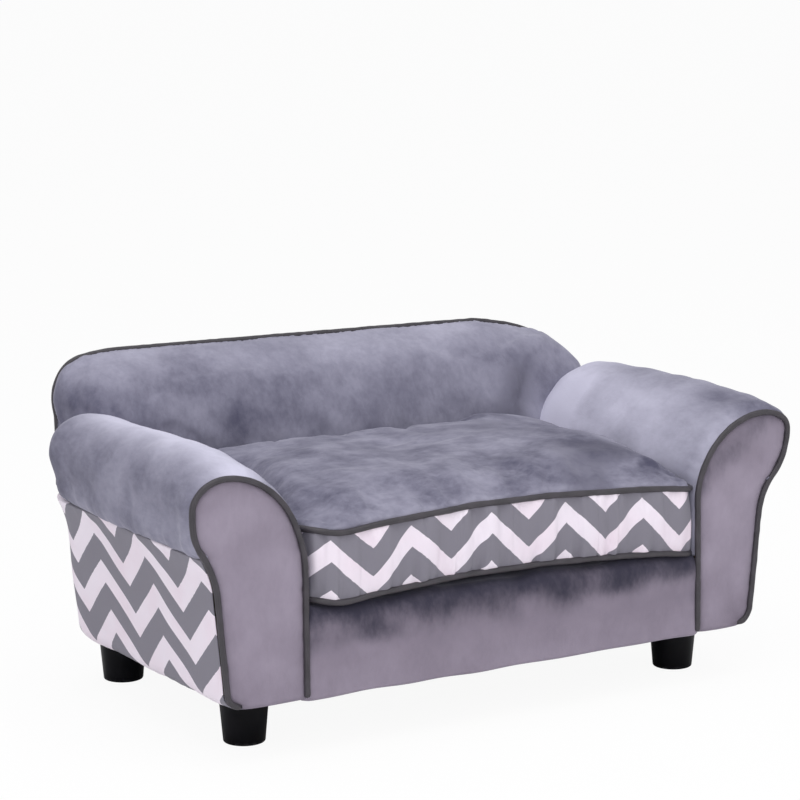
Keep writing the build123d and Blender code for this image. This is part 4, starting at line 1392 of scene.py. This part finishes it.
# %% Zip teeth
def zip_teeth():
    """One six-sided bar, copied at equal steps. Along its own length u from -1 to 1 it
    stands out by height times the square root of one minus u squared."""
    low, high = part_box("zip_coil")
    pitch, thick = 1.5 * mm, 0.52 * mm
    count = int((high.x - low.x) / pitch) - 1
    place = np.linspace(low.x + 0.8 * mm, high.x - 0.8 * mm, count)
    u = np.array([-1.0, -0.8, -0.3, 0.3, 0.8, 1.0])[:, None]
    reach = 0.5 * (high.z - low.z) - 0.2 * mm
    stand = (high.y - low.y - 2 * thick) * np.sqrt(1 - (0.96 * u) ** 2)
    angle = np.arange(6) * pi / 3
    size = thick * np.array([0.0, 1.0, 1.0, 1.0, 1.0, 0.0])[:, None]
    y = low.y + thick + stand + size * np.sin(angle)
    bar = together(size * np.cos(angle), y, 0.5 * (low.z + high.z) + reach * u)
    points = (bar + together(place, 0, 0)[:, None, None]).reshape(-1, 3)
    faces = grid_faces(6, 6, True) + bar[..., 0].size * np.arange(count)[:, None, None]
    faces = faces.reshape(-1, 4)
    piece = make_mesh("zip_teeth", points, faces, points[faces.ravel()][:, [0, 2]], {})
    fit(piece, "cushion", finish_of_slot["zip_nylon"], ["zip_coil"])


zip_teeth()

# %% [markdown]
# ## Two linings
# A thin black lining is stapled over the seat board, where only the lifted cushion shows
# it, and another under the base. Both are pulled flat, with shallow dips between staples.

# %% Linings
staple_dip = 0.12 * mm


def stapled_lining(name, node, level, flip, tucked=0.0):
    """Flat rectangle at one level, less a shallow wave of staple dips near its edge;
    its sides run on by the tucked length under the arm covers."""
    low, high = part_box(node)
    side = high.x + tucked
    x, y = np.meshgrid(np.linspace(-side, side, 150), np.linspace(low.y, high.y, 100))
    to_side, to_end = side - np.abs(x), np.minimum(y - low.y, high.y - y)
    along = np.where(to_side < to_end, y, x)
    wave = np.cos(2 * pi * along / (42 * mm)) * fade(np.minimum(to_side, to_end), 14)
    plane = together(x, y)
    grid = together(x, y, level + staple_dip * (wave + 0.5 * swell(plane, 60, 301)))
    finish = finish_of_slot["deck_lining"]
    piece = cover(name, grid, plane, "deck_lining", finish, [node], flip=flip)


seat_level, base_level = deck_top - 0.6 * mm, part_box("dust_cover")[0].z + 0.2 * mm
stapled_lining(
    "seat_lining", "deck_cloth", seat_level, False, 6 * mm
)
stapled_lining(
    "base_lining", "dust_cover", base_level, True
)

# %% [markdown]
# ## Stage and light
# Plain white all round, a big soft light above and in front, and a floor that takes the
# shadow. The floor and the world show plain white to the camera, but light the sofa at
# their own level.

# %% Stage
bpy.context.scene.view_settings.view_transform = "Standard"
pure_white = (1.0, 1.0, 1.0)


def split_view(owner, output, share, lit, seen):
    """Gives a material or a world one shader that lights the sofa and, by a share,
    another one for the camera's own rays. Each is a node's kind and its sockets."""
    tree = empty_tree(owner)
    last = tree.nodes.new(output)
    start = Signal(tree, last.inputs[0])
    ray = start.node("ShaderNodeLightPath", output="Is Camera Ray")
    sockets = {0: ray if share == 1 else ray * share, 1: start.node(*lit), 2: start.node(*seen)}
    tree.links.new(start.node("ShaderNodeMixShader", sockets).socket, last.inputs[0])


def white_floor(reach=40.0):
    """Floor that is white to the camera and still takes a faint shadow."""
    mesh = bpy.data.meshes.new("floor")
    corners = [(-reach, -reach, 0), (reach, -reach, 0), (reach, reach, 0), (-reach, reach, 0)]
    mesh.from_pydata(corners, [], [(0, 1, 2, 3)])
    floor = add_object("floor", mesh)
    material = bpy.data.materials.new("floor_white")
    plain = "ShaderNodeBsdfDiffuse", {"Color": (0.92, 0.92, 0.92)}
    glow = "ShaderNodeEmission", {"Color": pure_white, "Strength": 1.0}
    split_view(material, "ShaderNodeOutputMaterial", 0.93, plain, glow)
    mesh.materials.append(material)


def white_world(strength):
    """World that is plain white behind the sofa and a soft light of its own strength."""
    world = bpy.data.worlds.new("studio")
    bpy.context.scene.world = world
    soft, plain = (
        ("ShaderNodeBackground", {"Color": colour, "Strength": level})
        for colour, level in (((0.98, 0.98, 1.0), strength), (pure_white, 1.0))
    )
    split_view(world, "ShaderNodeOutputWorld", 1, soft, plain)


def soft_box(name, place, target, size, power):
    """Square area light at a place, turned towards a point."""
    data = bpy.data.lights.new(name, "AREA")
    data.shape, data.size, data.energy = "SQUARE", size, power
    towards = unit(np.subtract(target, place))
    aim(add_object(name, data), unit(np.cross(towards, upright)), towards, place)


white_floor()
white_world(0.62)
soft_box("overhead", (-0.3, -0.6, 2.6), (0, 0, 0.15), 2.2, 30.0)
soft_box("front_left", (-2.6, -2.2, 1.6), (0, 0, 0.2), 1.6, 22.0)
soft_box("front_right", (1.8, -2.6, 1.4), (0, 0, 0.2), 1.6, 12.0)
print("stage: floor, world and three soft lights")
